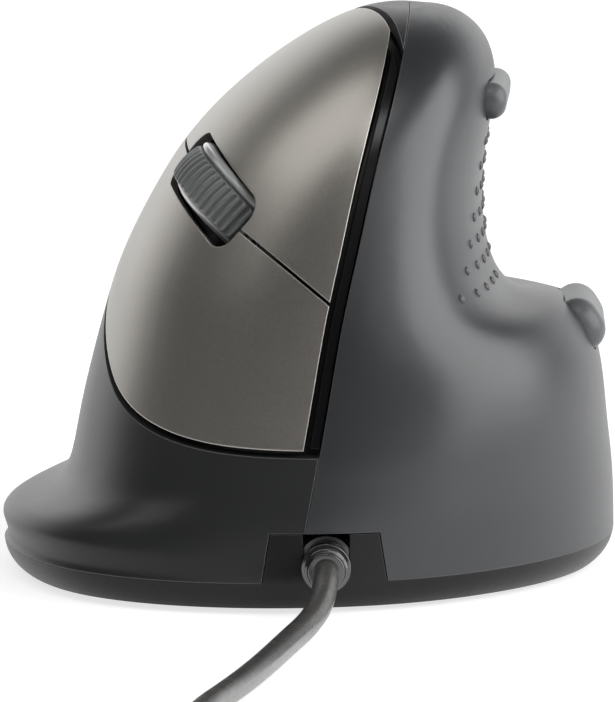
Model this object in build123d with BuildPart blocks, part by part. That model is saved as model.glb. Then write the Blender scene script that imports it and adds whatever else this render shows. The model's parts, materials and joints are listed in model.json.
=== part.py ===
from build123d import *
import os
from math import asin, cos, degrees, pi, radians, sin, tan

os.makedirs("parts", exist_ok=True)

# A right-handed upright mouse. The desk is Z 0, the cable leaves towards minus Y, the finger keys
# face minus X and the thumb rests on the plus X side. Lengths are millimetres.

# Driving sizes of the whole body
body_width = 86.0
body_length = 119.0
body_height = 79.0
seam_height = 4.4
shell_wall = 2.0
seam_gap = 0.12
far = 300.0
overrun = 2.0

half_width = body_width / 2
half_length = body_length / 2
shell_rise = body_height - seam_height

# The outer skin is a stack of rings, from the base seam to the crown. Each row gives one ring's
# outermost points as shares of half the width, half the length and the rise above the seam.
left_shares = [
    (-0.985, 0.0), (-0.99, 0.043), (-0.972, 0.066), (-0.895, 0.082), (-0.814, 0.105),
    (-0.772, 0.149), (-0.749, 0.216), (-0.716, 0.303), (-0.674, 0.397), (-0.619, 0.504),
    (-0.535, 0.611), (-0.419, 0.725), (-0.286, 0.816), (-0.128, 0.895), (0.035, 0.957),
    (0.174, 0.992), (0.244, 1.0),
]
right_shares = [
    (1.0, 0.0), (1.0, 0.055), (0.998, 0.102), (0.991, 0.155), (0.981, 0.209),
    (0.972, 0.270), (0.956, 0.335), (0.921, 0.402), (0.837, 0.448), (0.706, 0.462),
    (0.614, 0.508), (0.572, 0.631), (0.586, 0.752), (0.614, 0.859), (0.570, 0.949),
    (0.453, 0.993), (0.384, 1.0),
]
front_shares = [
    (-0.035, -1.0, 0.0), (-0.023, -0.998, 0.048), (-0.012, -0.995, 0.088), (0.0, -0.990, 0.129),
    (0.012, -0.983, 0.169), (0.028, -0.975, 0.216), (0.047, -0.963, 0.269), (0.065, -0.948, 0.330),
    (0.088, -0.928, 0.403), (0.116, -0.901, 0.491), (0.149, -0.866, 0.584), (0.191, -0.815, 0.692),
    (0.233, -0.748, 0.792), (0.274, -0.655, 0.879), (0.302, -0.529, 0.946), (0.314, -0.361, 0.989),
    (0.314, -0.235, 1.0),
]
back_shares = [
    (0.0, 1.0, 0.0), (0.0, 0.998, 0.040), (0.007, 0.995, 0.064), (0.014, 0.988, 0.092),
    (0.023, 0.974, 0.138), (0.035, 0.952, 0.198), (0.051, 0.919, 0.269), (0.070, 0.877, 0.336),
    (0.093, 0.818, 0.417), (0.123, 0.739, 0.511), (0.158, 0.639, 0.605), (0.198, 0.521, 0.705),
    (0.240, 0.387, 0.799), (0.279, 0.244, 0.883), (0.307, 0.101, 0.950), (0.314, -0.025, 0.991),
    (0.314, -0.101, 1.0),
]
# The thumb ledge sinks by these shares of the rise behind its widest point, ring by ring.
dip_shares = [0.0] * 7 + [0.018, 0.040, 0.053, 0.041, 0.020] + [0.0] * 5
widest_share = -0.16
front_left_powers = (2.5, 2.0)
front_right_powers = (1.8, 2.3)
back_left_powers = (1.4, 2.0)
back_right_power = 2.2
ledge_settle_power = 4
quarter_steps = 4
last_row = len(left_shares) - 1
outer_rows = list(range(last_row + 1))
cavity_rows = [0, 2] + list(range(4, last_row + 1))
upper_rows = list(range(5, last_row + 1))


def blend(first, last, share):
    """A value on the way from first to last."""
    return first + (last - first) * min(share, 1)


def quarter(tip, side, power, settle=2, dip=0.0):
    """Points of a quarter ring from its tip towards its side, without the side itself."""
    points = []
    for step in range(quarter_steps):
        angle = pi / 2 * step / quarter_steps
        x = tip.X + (side.X - tip.X) * sin(angle) ** (2 / power)
        y = side.Y + (tip.Y - side.Y) * cos(angle) ** (2 / power)
        z = side.Z + (tip.Z - side.Z) * cos(angle) ** settle - dip * sin(2 * angle)
        points.append(Vector(x, y, z))
    return points


def ring_points(row):
    """The points of one ring of the outer skin, from the back round by the left."""
    share = row / last_row
    widest = widest_share * half_length
    left_x, left_z = left_shares[row]
    left = Vector(left_x * half_width, widest, seam_height + left_z * shell_rise)
    right_x, right_z = right_shares[row]
    right = Vector(right_x * half_width, widest, seam_height + right_z * shell_rise)
    front_x, front_y, front_z = front_shares[row]
    front = Vector(front_x * half_width, front_y * half_length, seam_height + front_z * shell_rise)
    back_x, back_y, back_z = back_shares[row]
    back = Vector(back_x * half_width, back_y * half_length, seam_height + back_z * shell_rise)
    back_left = quarter(back, left, blend(*back_left_powers, 2 * share))
    front_left = quarter(front, left, blend(*front_left_powers, share))
    front_right = quarter(front, right, blend(*front_right_powers, 2 * share))
    dip = dip_shares[row] * shell_rise
    back_right = quarter(back, right, back_right_power, ledge_settle_power, dip)
    return back_left + [left] + front_left[:0:-1] + front_right + [right] + back_right[:0:-1]


def inset_ring(row, depth):
    """One ring moved inwards, square to the skin, by depth."""
    here = ring_points(row)
    if row == last_row:
        return [point - Vector(0, 0, depth) for point in here]
    below = ring_points(max(row - 1, 0))
    above = ring_points(row + 1)
    moved = []
    for index, point in enumerate(here):
        along = here[(index + 1) % len(here)] - here[index - 1]
        inward = (above[index] - below[index]).cross(along).normalized()
        place = point + inward * depth
        moved.append(Vector(place.X, place.Y, point.Z) if row == 0 else place)
    return moved


def level_ring(depth, height):
    """The seam ring moved inwards by depth and laid at a height."""
    return [Vector(point.X, point.Y, height) for point in inset_ring(0, depth)]


def ring_loft(loops):
    """A solid through closed curves, which the loft joins smoothly."""
    return Solid.make_loft([Wire([Edge.make_spline(loop, periodic=True)]) for loop in loops])


def skin(depth, rows=outer_rows, foot=None):
    """The body shape inside the outer skin by depth, run down to a level foot where one is given."""
    loops = [inset_ring(row, depth) for row in rows]
    if foot is not None:
        loops.insert(0, [Vector(point.X, point.Y, foot) for point in loops[0]])
    return ring_loft(loops)


# Lines that divide the skin, in the front view, the side view and the plan
seam_shares = [(-0.035, -0.1), (-0.035, 0.056), (-0.014, 0.127), (0.028, 0.253), (0.070, 0.380),
               (0.116, 0.519), (0.163, 0.633), (0.216, 0.759), (0.279, 0.886), (0.321, 0.975), (0.36, 1.1)]
window_shares = [(-1.3, 0.276), (-0.925, 0.280), (-0.787, 0.301), (-0.597, 0.344), (-0.395, 0.405),
                 (-0.135, 0.475), (0.168, 0.570), (0.32, 0.665), (0.30, 0.785), (0.13, 0.91), (-0.05, 1.1)]
crown_shares = [(0.40, -1.2), (0.326, -0.64), (0.214, -0.17), (-0.10, 0.20), (-0.6, 0.50)]
strip_width = 2.3
window_gap = 1.0
crown_gap = 1.1
line_steps = 24


def moved_line(points, gap):
    """Points along a smooth flat line, moved to its left by gap."""
    line = Edge.make_spline([Vector(x, y) for x, y in points])
    moved = []
    for step in range(line_steps + 1):
        place = line @ (step / line_steps)
        way = line % (step / line_steps)
        moved.append((place.X - way.Y * gap, place.Y + way.X * gap))
    return moved


def left_of_seam(shift):
    """Everything on the finger side of the seam line, with the line moved sideways by shift."""
    with BuildPart() as side:
        with BuildSketch(Plane.XZ):
            with BuildLine():
                seam = Spline(*[(x * half_width + shift, z * body_height) for x, z in seam_shares])
                Polyline(seam @ 1, (-far, (seam @ 1).Y), (-far, (seam @ 0).Y), seam @ 0)
            make_face()
        extrude(amount=far, both=True)
    return side.part


def above_window_edge(gap):
    """Everything inside the key window as the side view shows it, gap within its edge."""
    points = [(y * half_length, z * body_height) for y, z in window_shares]
    with BuildPart() as region:
        with BuildSketch(Plane.YZ):
            with BuildLine():
                edge = Spline(*moved_line(points, gap))
                Polyline(edge @ 1, (-far, (edge @ 1).Y), (-far, (edge @ 0).Y), edge @ 0)
            make_face()
        extrude(amount=far, both=True)
    return region.part


def before_crown_line(gap):
    """Everything on the finger side of the crown line as the plan shows it, gap within it."""
    points = [(x * half_width, y * half_length) for x, y in crown_shares]
    with BuildPart() as region:
        with BuildSketch(Plane.XY):
            with BuildLine():
                edge = Spline(*moved_line(points, gap))
                Polyline(edge @ 1, (-far, (edge @ 1).Y), (-far, (edge @ 0).Y), edge @ 0)
            make_face()
        extrude(amount=far, both=True)
    return region.part


def window_zone(edge_gap, seam_shift, crown_line_gap):
    """The key window's three boundaries together."""
    return above_window_edge(edge_gap) & left_of_seam(seam_shift) & before_crown_line(crown_line_gap)


key_wall = 1.5
frame_inset = 2.6
frame_wall = 1.5
frame_margin = 4.0
rib_inset = 1.2
rib_clearance = 0.9

outer = skin(0.0)
cavity = skin(shell_wall, cavity_rows, seam_height - overrun)
hull = outer - cavity
upper_foot = seam_height + overrun
finger_side = left_of_seam(0.0)
window = window_zone(0.0, 0.0, 0.0)

# The scroll wheel sits proud of the skin where a ray from inside the body meets it. Its axle leans
# with the finger keys, and the key deck below them is laid out square to it.
axle_tilt = 46
nose_tilt = 25
wheel_aim_shares = (-0.184, -0.471, 0.643)
wheel_radius = 13.0
wheel_proud = 3.2
axle_way = Vector(cos(radians(axle_tilt)), 0, sin(radians(axle_tilt)))
lean_way = Vector(-sin(radians(axle_tilt)), 0, cos(radians(axle_tilt)))
out_way = lean_way * cos(radians(nose_tilt)) - Vector(0, 1, 0) * sin(radians(nose_tilt))
back_way = out_way.cross(axle_way)
aim_x, aim_y, aim_z = wheel_aim_shares
wheel_aim = Vector(aim_x * half_width, aim_y * half_length, aim_z * body_height)


def skin_point(start, way):
    """Where a ray from inside leaves the outer skin, and the skin's outward normal there."""
    hits = [hit for hit in outer.find_intersection_points(Axis(start, way)) if (hit[0] - start).dot(way) > 0]
    return hits[0]


wheel_skin = skin_point(wheel_aim, out_way)[0]
wheel_centre = wheel_skin - out_way * (wheel_radius - wheel_proud)
deck = Plane(origin=wheel_centre, x_dir=axle_way, z_dir=out_way)
axle_plane = Plane(origin=wheel_centre, x_dir=back_way, z_dir=axle_way)


def half_space(plane):
    """A large block on the outward side of a plane."""
    with BuildPart(plane) as block:
        Box(far, far, far, align=(Align.CENTER, Align.CENTER, Align.MIN))
    return block.part


# Wheel parts, measured along the axle and out from it
tyre_width = 5.6
tyre_depth = 2.4
tyre_crown = 0.3
groove_depth = 0.5
groove_width = 0.6
rib_count = 60
flank_width = 7.6
flank_radius = 10.2
flange_depth = 1.4
core_radius = 3.4
axle_radius = 1.5
bore_clearance = 0.05
turn_clearance = 0.2
cheek_gap = 0.8
cheek_wall = 1.6
cheek_inner = flank_width / 2 + cheek_gap
cheek_outer = cheek_inner + cheek_wall
encoder_width = 4.4
encoder_depth = 8.2
encoder_reach = 5.4
encoder_top = 2.8
rotor_radius = 2.3
axle_long_end = cheek_outer + encoder_width
axle_short_end = cheek_outer + cheek_gap
rim_radius = wheel_radius - tyre_depth
flange_radius = rim_radius + flange_depth
barrel_plane = Plane(origin=wheel_centre, x_dir=out_way, z_dir=back_way)
axle_line = Axis(wheel_centre, axle_way)

with BuildPart() as wheel_tyre:
    with BuildSketch(barrel_plane):
        with BuildLine():
            crown = ThreePointArc((wheel_radius - tyre_crown, -tyre_width / 2), (wheel_radius, 0),
                                  (wheel_radius - tyre_crown, tyre_width / 2))
            Polyline(crown @ 1, (rim_radius, tyre_width / 2), (rim_radius, -tyre_width / 2), crown @ 0)
        make_face()
    revolve(axis=axle_line)
    with BuildSketch(axle_plane.offset(-tyre_width / 2)):
        with PolarLocations(wheel_radius, rib_count):
            Rectangle(2 * groove_depth, groove_width)
    extrude(amount=tyre_width, mode=Mode.SUBTRACT)

with BuildPart() as wheel_hub:
    with BuildSketch(barrel_plane):
        with BuildLine():
            half_profile = [
                (axle_radius, cheek_inner - turn_clearance), (core_radius, cheek_inner - turn_clearance),
                (core_radius, flank_width / 2), (flank_radius, flank_width / 2),
                (flange_radius, tyre_width / 2 + turn_clearance), (flange_radius, tyre_width / 2),
                (rim_radius, tyre_width / 2),
            ]
            mirrored = [(radius, -along) for radius, along in reversed(half_profile)]
            Polyline((0, axle_long_end), (axle_radius, axle_long_end), *half_profile, *mirrored,
                     (axle_radius, -axle_short_end), (0, -axle_short_end), close=True)
        make_face()
    revolve(axis=axle_line)

# The key deck: a board below the keys that carries their switches and the wheel's, in the deck's
# own directions: along the axle, back along the mouse, and out towards the fingers.
deck_drop = 7.7
deck_board_wall = 1.2
deck_left = 17.5
deck_right = 18.5
deck_front = 19.0
deck_rear = 22.0
deck_clearance = 0.6
wheel_well_width = 11.6
wheel_well_length = 25.2
switch_width = 5.8
switch_length = 12.8
switch_height = 6.5
switch_plunger_width = 2.9
switch_plunger_length = 1.2
plunger_proud = 0.7
plunger_sunk = 1.0
pocket_depth = 1.8
plunger_clearance = 0.1
press_gap = 0.1
plunger_setback = 1.5
upper_switch_side = 14.5
lower_switch_side = 13.0
switch_back = -8.5
tact_side = 6.0
tact_height = 3.5
tact_plunger_radius = 1.65
wheel_switch_back = 17.2
carriage_height = 2.8
carriage_bar = 3.8
carriage_reach = 13.8
rear_bar = 2.7
tongue_reach = 19.9
tongue_width = 9.0
boss_radius = 3.2
pivot_radius = 1.0
pivot_length = 2.0
lug_gap = 0.3
lug_wall = 1.8
lug_side = 4.8
lug_outer = cheek_outer + lug_gap + lug_wall
pivot_back = -carriage_reach - carriage_bar / 2
carriage_floor = -deck_drop + tact_height + plunger_proud + press_gap
carriage_middle = carriage_floor + carriage_height / 2
key_switch_top = -deck_drop + switch_height
key_post_end = key_switch_top + plunger_proud + press_gap
key_post_radius = 2.0
key_post_clearance = 0.8
deck_post_radius = 2.2
deck_posts = ((-14.0, 11.0), (12.5, 11.0))
screw_radius = 0.8
screw_head_radius = 1.8
screw_head_height = 1.3
screw_length = 5.0

with BuildPart(deck) as wheel_carriage:
    for side in (-1, 1):
        with Locations((side * (cheek_inner + cheek_wall / 2), 0, carriage_floor)):
            Box(cheek_wall, 2 * carriage_reach, carriage_height,
                align=(Align.CENTER, Align.CENTER, Align.MIN))
    with BuildSketch(axle_plane.offset(-cheek_outer)):
        Circle(boss_radius)
    extrude(amount=cheek_wall)
    with BuildSketch(axle_plane.offset(cheek_inner)):
        Circle(boss_radius)
    extrude(amount=cheek_wall)
    with Locations((0, -carriage_reach, carriage_floor)):
        Box(2 * cheek_outer, carriage_bar, carriage_height, align=(Align.CENTER, Align.MAX, Align.MIN))
    with Locations((0, carriage_reach, carriage_floor)):
        Box(2 * cheek_outer, rear_bar, carriage_height, align=(Align.CENTER, Align.MIN, Align.MIN))
        Box(tongue_width, tongue_reach - carriage_reach, carriage_height,
            align=(Align.CENTER, Align.MIN, Align.MIN))
    with BuildSketch(axle_plane.offset(-cheek_outer - pivot_length)):
        with Locations((pivot_back, carriage_middle)):
            Circle(pivot_radius)
    extrude(amount=2 * (cheek_outer + pivot_length))
    with BuildSketch(axle_plane.offset(-axle_long_end)):
        Circle(axle_radius + bore_clearance)
    extrude(amount=2 * axle_long_end, mode=Mode.SUBTRACT)

with BuildPart(deck) as wheel_encoder:
    with Locations((cheek_outer, 0, encoder_top)):
        Box(encoder_width, encoder_depth, encoder_top + encoder_reach,
            align=(Align.MIN, Align.CENTER, Align.MAX))
    with BuildSketch(axle_plane.offset(cheek_outer)):
        Circle(rotor_radius + turn_clearance)
    extrude(amount=encoder_width, mode=Mode.SUBTRACT)

with BuildPart() as encoder_rotor:
    with BuildSketch(axle_plane.offset(cheek_outer + turn_clearance)):
        Circle(rotor_radius)
        Circle(axle_radius, mode=Mode.SUBTRACT)
    extrude(amount=encoder_width - turn_clearance)


def micro_switch(side):
    """A key switch and its plunger, on the deck board at a place along the axle."""
    with BuildPart(deck) as body:
        with Locations((side, switch_back, -deck_drop)):
            Box(switch_width, switch_length, switch_height, align=(Align.CENTER, Align.CENTER, Align.MIN))
        with Locations((side, switch_back + plunger_setback, key_switch_top)):
            Box(switch_plunger_width + 2 * plunger_clearance, switch_plunger_length + 2 * plunger_clearance,
                pocket_depth, align=(Align.CENTER, Align.CENTER, Align.MAX), mode=Mode.SUBTRACT)
    with BuildPart(deck) as plunger:
        with Locations((side, switch_back + plunger_setback, key_switch_top + plunger_proud)):
            Box(switch_plunger_width, switch_plunger_length, plunger_proud + plunger_sunk,
                align=(Align.CENTER, Align.CENTER, Align.MAX))
    return body, plunger


def tact_switch(base):
    """A small square switch and its round plunger, standing on a plane."""
    with BuildPart(base) as body:
        Box(tact_side, tact_side, tact_height, align=(Align.CENTER, Align.CENTER, Align.MIN))
        with Locations((0, 0, tact_height)):
            Cylinder(tact_plunger_radius + plunger_clearance, pocket_depth,
                     align=(Align.CENTER, Align.CENTER, Align.MAX), mode=Mode.SUBTRACT)
    with BuildPart(base) as plunger:
        with Locations((0, 0, tact_height + plunger_proud)):
            Cylinder(tact_plunger_radius, plunger_proud + plunger_sunk,
                     align=(Align.CENTER, Align.CENTER, Align.MAX))
    return body, plunger


upper_switch, upper_switch_plunger = micro_switch(upper_switch_side)
lower_switch, lower_switch_plunger = micro_switch(-lower_switch_side)
wheel_switch_place = Plane(origin=deck.from_local_coords(Vector(0, wheel_switch_back, -deck_drop)),
                           x_dir=axle_way, z_dir=out_way)
wheel_switch, wheel_switch_plunger = tact_switch(wheel_switch_place)

# Inner frame: it seats under the shell edges round the key window, fills the dark strip beside the
# thumb shell, and hangs the deck board and the wheel carriage below the keys.
frame_top = skin(frame_inset, upper_rows, upper_foot)
frame_under = skin(frame_inset + frame_wall, upper_rows, seam_height)
frame_zone = window_zone(-frame_margin, frame_margin, -frame_margin)
post_roof = skin(frame_inset + frame_wall / 2, upper_rows, upper_foot)
wheel_hatch_width = 12.6
wheel_hatch_front = 14.6
wheel_hatch_rear = 20.8
frame_plate = (frame_top & frame_zone) - frame_under
strip_rib = (skin(rib_inset, upper_rows, upper_foot) & window_zone(window_gap, -seam_gap, crown_gap)) - (
    left_of_seam(-strip_width + rib_clearance))
strip_rib = strip_rib - frame_under

with BuildPart(deck) as frame_hangers:
    for side in (-1, 1):
        with Locations((side * (cheek_outer + lug_gap), pivot_back, -deck_drop)):
            Box(lug_wall, lug_side, far,
                align=(Align.MIN if side > 0 else Align.MAX, Align.CENTER, Align.MIN))
    for along, back in deck_posts:
        with Locations((along, back, -deck_drop)):
            Cylinder(deck_post_radius, far, align=(Align.CENTER, Align.CENTER, Align.MIN))

with BuildPart() as button_frame:
    add(frame_plate)
    add(strip_rib)
    add(frame_hangers.part & post_roof)
    with BuildSketch(deck):
        with Locations((0, (wheel_hatch_rear - wheel_hatch_front) / 2)):
            Rectangle(wheel_hatch_width, wheel_hatch_rear + wheel_hatch_front)
        for along in (upper_switch_side, -lower_switch_side):
            with Locations((along, switch_back + plunger_setback)):
                Circle(key_post_radius + key_post_clearance)
    extrude(amount=far, mode=Mode.SUBTRACT)
    with BuildSketch(axle_plane.offset(-lug_outer)):
        with Locations((pivot_back, carriage_middle)):
            Circle(pivot_radius + bore_clearance)
    extrude(amount=2 * lug_outer, mode=Mode.SUBTRACT)
    with BuildSketch(deck.offset(-deck_drop)):
        with Locations(*deck_posts):
            Circle(screw_radius)
    extrude(amount=screw_length, mode=Mode.SUBTRACT)

with BuildPart() as button_board:
    with BuildSketch(deck.offset(-deck_drop - deck_board_wall)):
        with Locations(((deck_right - deck_left) / 2, (deck_rear - deck_front) / 2)):
            Rectangle(deck_left + deck_right, deck_front + deck_rear)
        Rectangle(wheel_well_width, wheel_well_length, mode=Mode.SUBTRACT)
        with Locations(*deck_posts):
            Circle(screw_radius, mode=Mode.SUBTRACT)
    extrude(amount=deck_board_wall)
    add(skin(frame_inset + frame_wall + deck_clearance, upper_rows, upper_foot), mode=Mode.INTERSECT)

# Keys: the skin inside the key window, parted beside the wheel, with a seat pad at the rear end and
# a post over each switch.
split_gap = 0.5
split_kink = 12.0
split_dip = 0.5
split_lean = 0.137
slot_low = 4.75
slot_high = 4.45
slot_half_length = 13.6
slot_corner = 3.0
pad_inset = 2.3
pad_length = 5.0
key_under = skin(key_wall, upper_rows, upper_foot)
key_middle = skin(key_wall / 2, upper_rows, upper_foot)
key_zone = window_zone(window_gap, -strip_width, crown_gap)
key_sheet = (outer & key_zone) - key_under
pad_zone = key_zone - window_zone(window_gap + pad_length, -strip_width, crown_gap)
hinge_aim_shares = (-0.326, 0.235, 0.75)
hinge_x, hinge_y, hinge_z = hinge_aim_shares
hinge_point = Vector(hinge_x * half_width, hinge_y * half_length, hinge_z * body_height)
pad_front = hinge_point.Y - 2 * pad_length

with BuildPart() as pad_block:
    with Locations((0, pad_front, 0)):
        Box(far, far, far, align=(Align.CENTER, Align.MIN, Align.CENTER))
seat_pads = ((key_under & pad_zone) & pad_block.part) - skin(pad_inset, upper_rows, seam_height)


def key(side, post_place):
    """One key: the sheet on its side of the split, its rear pad and its switch post."""
    with BuildPart(deck) as post:
        with Locations((post_place, switch_back + plunger_setback, key_post_end)):
            Cylinder(key_post_radius, far, align=(Align.CENTER, Align.CENTER, Align.MIN))
    shift = side * split_gap / 2
    with BuildPart() as panel:
        add(key_sheet)
        add(seat_pads)
        with BuildSketch(deck):
            with Locations(((slot_high - slot_low) / 2, 0)):
                RectangleRounded(slot_high + slot_low, 2 * slot_half_length, slot_corner)
        extrude(amount=far, mode=Mode.SUBTRACT)
        with BuildSketch(deck):
            with BuildLine():
                Polyline((shift, far), (shift, 0), (shift - split_dip, -split_kink),
                         (shift + split_lean * far, -far), (-side * far, -far), (-side * far, far),
                         close=True)
            make_face()
        extrude(amount=far, both=True, mode=Mode.SUBTRACT)
        add(post.part & key_middle)
    return panel


upper_button = key(1, upper_switch_side)
lower_button = key(-1, -lower_switch_side)

# Base: a shallow tray that draws in towards the desk, with a lip inside the shells, a front tab with
# a notch for the cable's strain relief, and bosses for the screws that hold the shells.
foot_height = 0.6
foot_inset = 2.3
bend_height = 2.2
bend_inset = 0.75
floor_top = 2.6
tray_inset = 4.3
lip_outer = 2.3
lip_inner = 3.5
lip_top = 6.4
tab_top = 11.2
tab_foot_left = -6.3
tab_foot_right = 11.1
tab_head_left = -5.2
tab_head_right = 10.0
tab_gap = 0.15
boot_x = 2.6
boot_z = 6.8
barrel_radius = 3.1
notch_radius = 3.3
flange_pocket_radius = 4.2
flange_pocket_front = 57.3
flange_pocket_back = 54.9
boss_indices = (2, 6, 10, 14)
boss_inset = 6.4
base_boss_radius = 3.6
shell_boss_radius = 3.0
shell_boss_height = 7.0
web_wall = 1.6
base_screw_radius = 1.25
base_head_radius = 2.4
base_head_height = 1.6
base_head_seat = 3.2
base_screw_grip = 4.5
hole_gap = 0.1
head_gap = 0.3
board_inset = 10.5
board_bottom = 7.4
board_wall = 1.6
board_top = board_bottom + board_wall
board_front = -46.0
board_post_inset = 14.0
board_post_radius = 2.2
sensor_y = -4.0
aperture_length = 12.0
aperture_width = 8.0


def prism(height_from, height_to, loop_inset):
    """A block between two heights with the seam ring's outline, moved inwards."""
    return ring_loft([level_ring(loop_inset, height_from), level_ring(loop_inset, height_to)])


def screw_points(inset):
    """Places beside the seam ring for screws."""
    ring = level_ring(inset, 0.0)
    return [ring[index] for index in boss_indices]


def posts(points, radius, height_from, height_to):
    """Upright round posts between two heights."""
    with BuildPart() as group:
        for point in points:
            with Locations((point.X, point.Y, height_from)):
                Cylinder(radius, height_to - height_from, align=(Align.CENTER, Align.CENTER, Align.MIN))
    return group.part


def front_tab(gap):
    """The trapezoid block of the front tab, grown by gap."""
    with BuildPart() as block:
        with BuildSketch(Plane.XZ):
            with BuildLine():
                Polyline((tab_foot_left - gap, seam_height), (tab_head_left - gap, tab_top + gap),
                         (tab_head_right + gap, tab_top + gap), (tab_foot_right + gap, seam_height),
                         close=True)
            make_face()
        extrude(amount=far)
    return block.part


base_screw_points = screw_points(boss_inset)
board_screw_points = screw_points(board_post_inset)
tray = ring_loft([level_ring(foot_inset, foot_height), level_ring(bend_inset, bend_height),
                  level_ring(0.0, seam_height)])

with BuildPart() as base_shell:
    add(tray)
    add(prism(floor_top, upper_foot, tray_inset), mode=Mode.SUBTRACT)
    add(prism(floor_top, lip_top, lip_outer) - prism(foot_height, lip_top + overrun, lip_inner))
    add(hull & front_tab(0.0))
    add(posts(base_screw_points, base_boss_radius, bend_height, lip_top))
    add(posts(board_screw_points, board_post_radius, bend_height, board_bottom))
    add(posts(base_screw_points, base_head_radius + head_gap, 0.0, base_head_seat), mode=Mode.SUBTRACT)
    add(posts(base_screw_points, base_screw_radius + hole_gap, 0.0, lip_top), mode=Mode.SUBTRACT)
    add(posts(board_screw_points, screw_radius, floor_top, board_bottom), mode=Mode.SUBTRACT)
    with BuildSketch(Plane.XY):
        with Locations((0, sensor_y)):
            RectangleRounded(aperture_width, aperture_length, aperture_width / 4)
    extrude(amount=floor_top, mode=Mode.SUBTRACT)
    with BuildSketch(Plane.XZ.offset(flange_pocket_back)):
        with Locations((boot_x, boot_z)):
            Circle(flange_pocket_radius)
    extrude(amount=flange_pocket_front - flange_pocket_back, mode=Mode.SUBTRACT)
    with BuildSketch(Plane.XZ.offset(flange_pocket_back)):
        with Locations((boot_x, boot_z)):
            Circle(notch_radius)
        with Locations((boot_x, boot_z)):
            Rectangle(2 * notch_radius, tab_top, align=(Align.CENTER, Align.MIN))
    extrude(amount=tab_top, mode=Mode.SUBTRACT)

with BuildPart() as base_screws:
    add(posts(base_screw_points, base_head_radius, base_head_seat - base_head_height, base_head_seat))
    add(posts(base_screw_points, base_screw_radius, base_head_seat, lip_top + base_screw_grip))


def shell_bosses(points, outer_points):
    """Screw bosses with a web to the wall, trimmed within the outer skin."""
    with BuildPart() as group:
        for point, outer_point in zip(points, outer_points):
            with Locations((point.X, point.Y, lip_top)):
                Cylinder(shell_boss_radius, shell_boss_height, align=(Align.CENTER, Align.CENTER, Align.MIN))
            web = Plane(origin=(point.X, point.Y, lip_top), x_dir=outer_point - point, z_dir=(0, 0, 1))
            with BuildSketch(web):
                Rectangle(boss_inset, web_wall, align=(Align.MIN, Align.CENTER))
            extrude(amount=shell_boss_height)
    return (group.part & bosses_skin) - posts(points, base_screw_radius, lip_top, lip_top + base_screw_grip)


bosses_skin = skin(shell_wall / 2)
edge_points = screw_points(0.0)
finger_bosses = shell_bosses(base_screw_points[:2], edge_points[:2])
thumb_bosses = shell_bosses(base_screw_points[2:], edge_points[2:])
tab_space = front_tab(tab_gap)

with BuildPart() as finger_shell:
    add((hull & finger_side) - window)
    add(tab_space, mode=Mode.SUBTRACT)
    add(finger_bosses)

# Thumb side: two push buttons in the thumb shell, each over a switch on its own small board. Their
# planes lie on the skin, with X towards the back.
upper_thumb_aim_shares = (0.25, -0.235, 0.848)
lower_thumb_aim_shares = (0.6, -0.134, 0.37)
lower_thumb_lift = 23
button_hole_gap = 0.3
button_foot = -5.0
button_flange = 0.7
button_flange_side = 0.7
button_proud = 2.0
button_round_share = 0.4
upper_thumb_length = 20.0
upper_thumb_width = 5.2
lower_thumb_length = 22.0
lower_thumb_width = 7.8
thumb_board_length = 33.0
thumb_board_width = 6.4
thumb_board_wall = 1.2
thumb_board_top = button_foot - press_gap - plunger_proud - tact_height
thumb_board_bottom = thumb_board_top - thumb_board_wall
thumb_post_radius = 1.8
thumb_post_share = 0.44


def thumb_place(shares, lift):
    """The plane on the skin that a thumb button is built from."""
    share_x, share_y, share_z = shares
    start = Vector(share_x * half_width, share_y * half_length, share_z * body_height)
    way = Vector(cos(radians(lift)), 0, sin(radians(lift)))
    place, normal = skin_point(start, way)
    rearward = Vector(0, 1, 0) - normal * normal.Y
    return Plane(origin=place, x_dir=rearward, z_dir=normal)


upper_thumb_place = thumb_place(upper_thumb_aim_shares, 0)
lower_thumb_place = thumb_place(lower_thumb_aim_shares, lower_thumb_lift)


def thumb_button(place, length, width):
    """A pill-shaped button with a flange below the shell, and the hole and the seat it moves in."""
    with BuildPart() as button:
        with BuildSketch(place.offset(button_foot)):
            SlotOverall(length, width)
        extrude(amount=button_proud - button_foot)
        fillet(button.edges().group_by(Axis(place.origin, place.z_dir))[-1], width * button_round_share)
        with BuildSketch(place.offset(button_foot)):
            SlotOverall(length + 2 * button_flange_side, width + 2 * button_flange_side)
        extrude(amount=button_flange)
    seat_side = button_flange_side + button_hole_gap
    with BuildPart() as hole:
        with BuildSketch(place.offset(button_foot)):
            SlotOverall(length + 2 * button_hole_gap, width + 2 * button_hole_gap)
        extrude(amount=-2 * button_foot)
        with BuildSketch(place.offset(button_foot - button_flange)):
            SlotOverall(length + 2 * seat_side, width + 2 * seat_side)
        extrude(amount=2 * button_flange + button_hole_gap)
    return button, hole.part


def thumb_board(place):
    """A small board parallel to the skin, and the two posts that it is screwed to."""
    reach = thumb_board_length * thumb_post_share
    with BuildPart() as board:
        with BuildSketch(place.offset(thumb_board_bottom)):
            SlotOverall(thumb_board_length, thumb_board_width)
            with Locations((-reach, 0), (reach, 0)):
                Circle(screw_radius + hole_gap, mode=Mode.SUBTRACT)
        extrude(amount=thumb_board_wall)
    with BuildPart() as stand:
        with BuildSketch(place.offset(thumb_board_top)):
            with Locations((-reach, 0), (reach, 0)):
                Circle(thumb_post_radius)
        extrude(amount=far)
    with BuildPart() as bores:
        with BuildSketch(place.offset(thumb_board_top)):
            with Locations((-reach, 0), (reach, 0)):
                Circle(screw_radius)
        extrude(amount=screw_length)
    return board, (stand.part & bosses_skin) - bores.part


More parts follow.
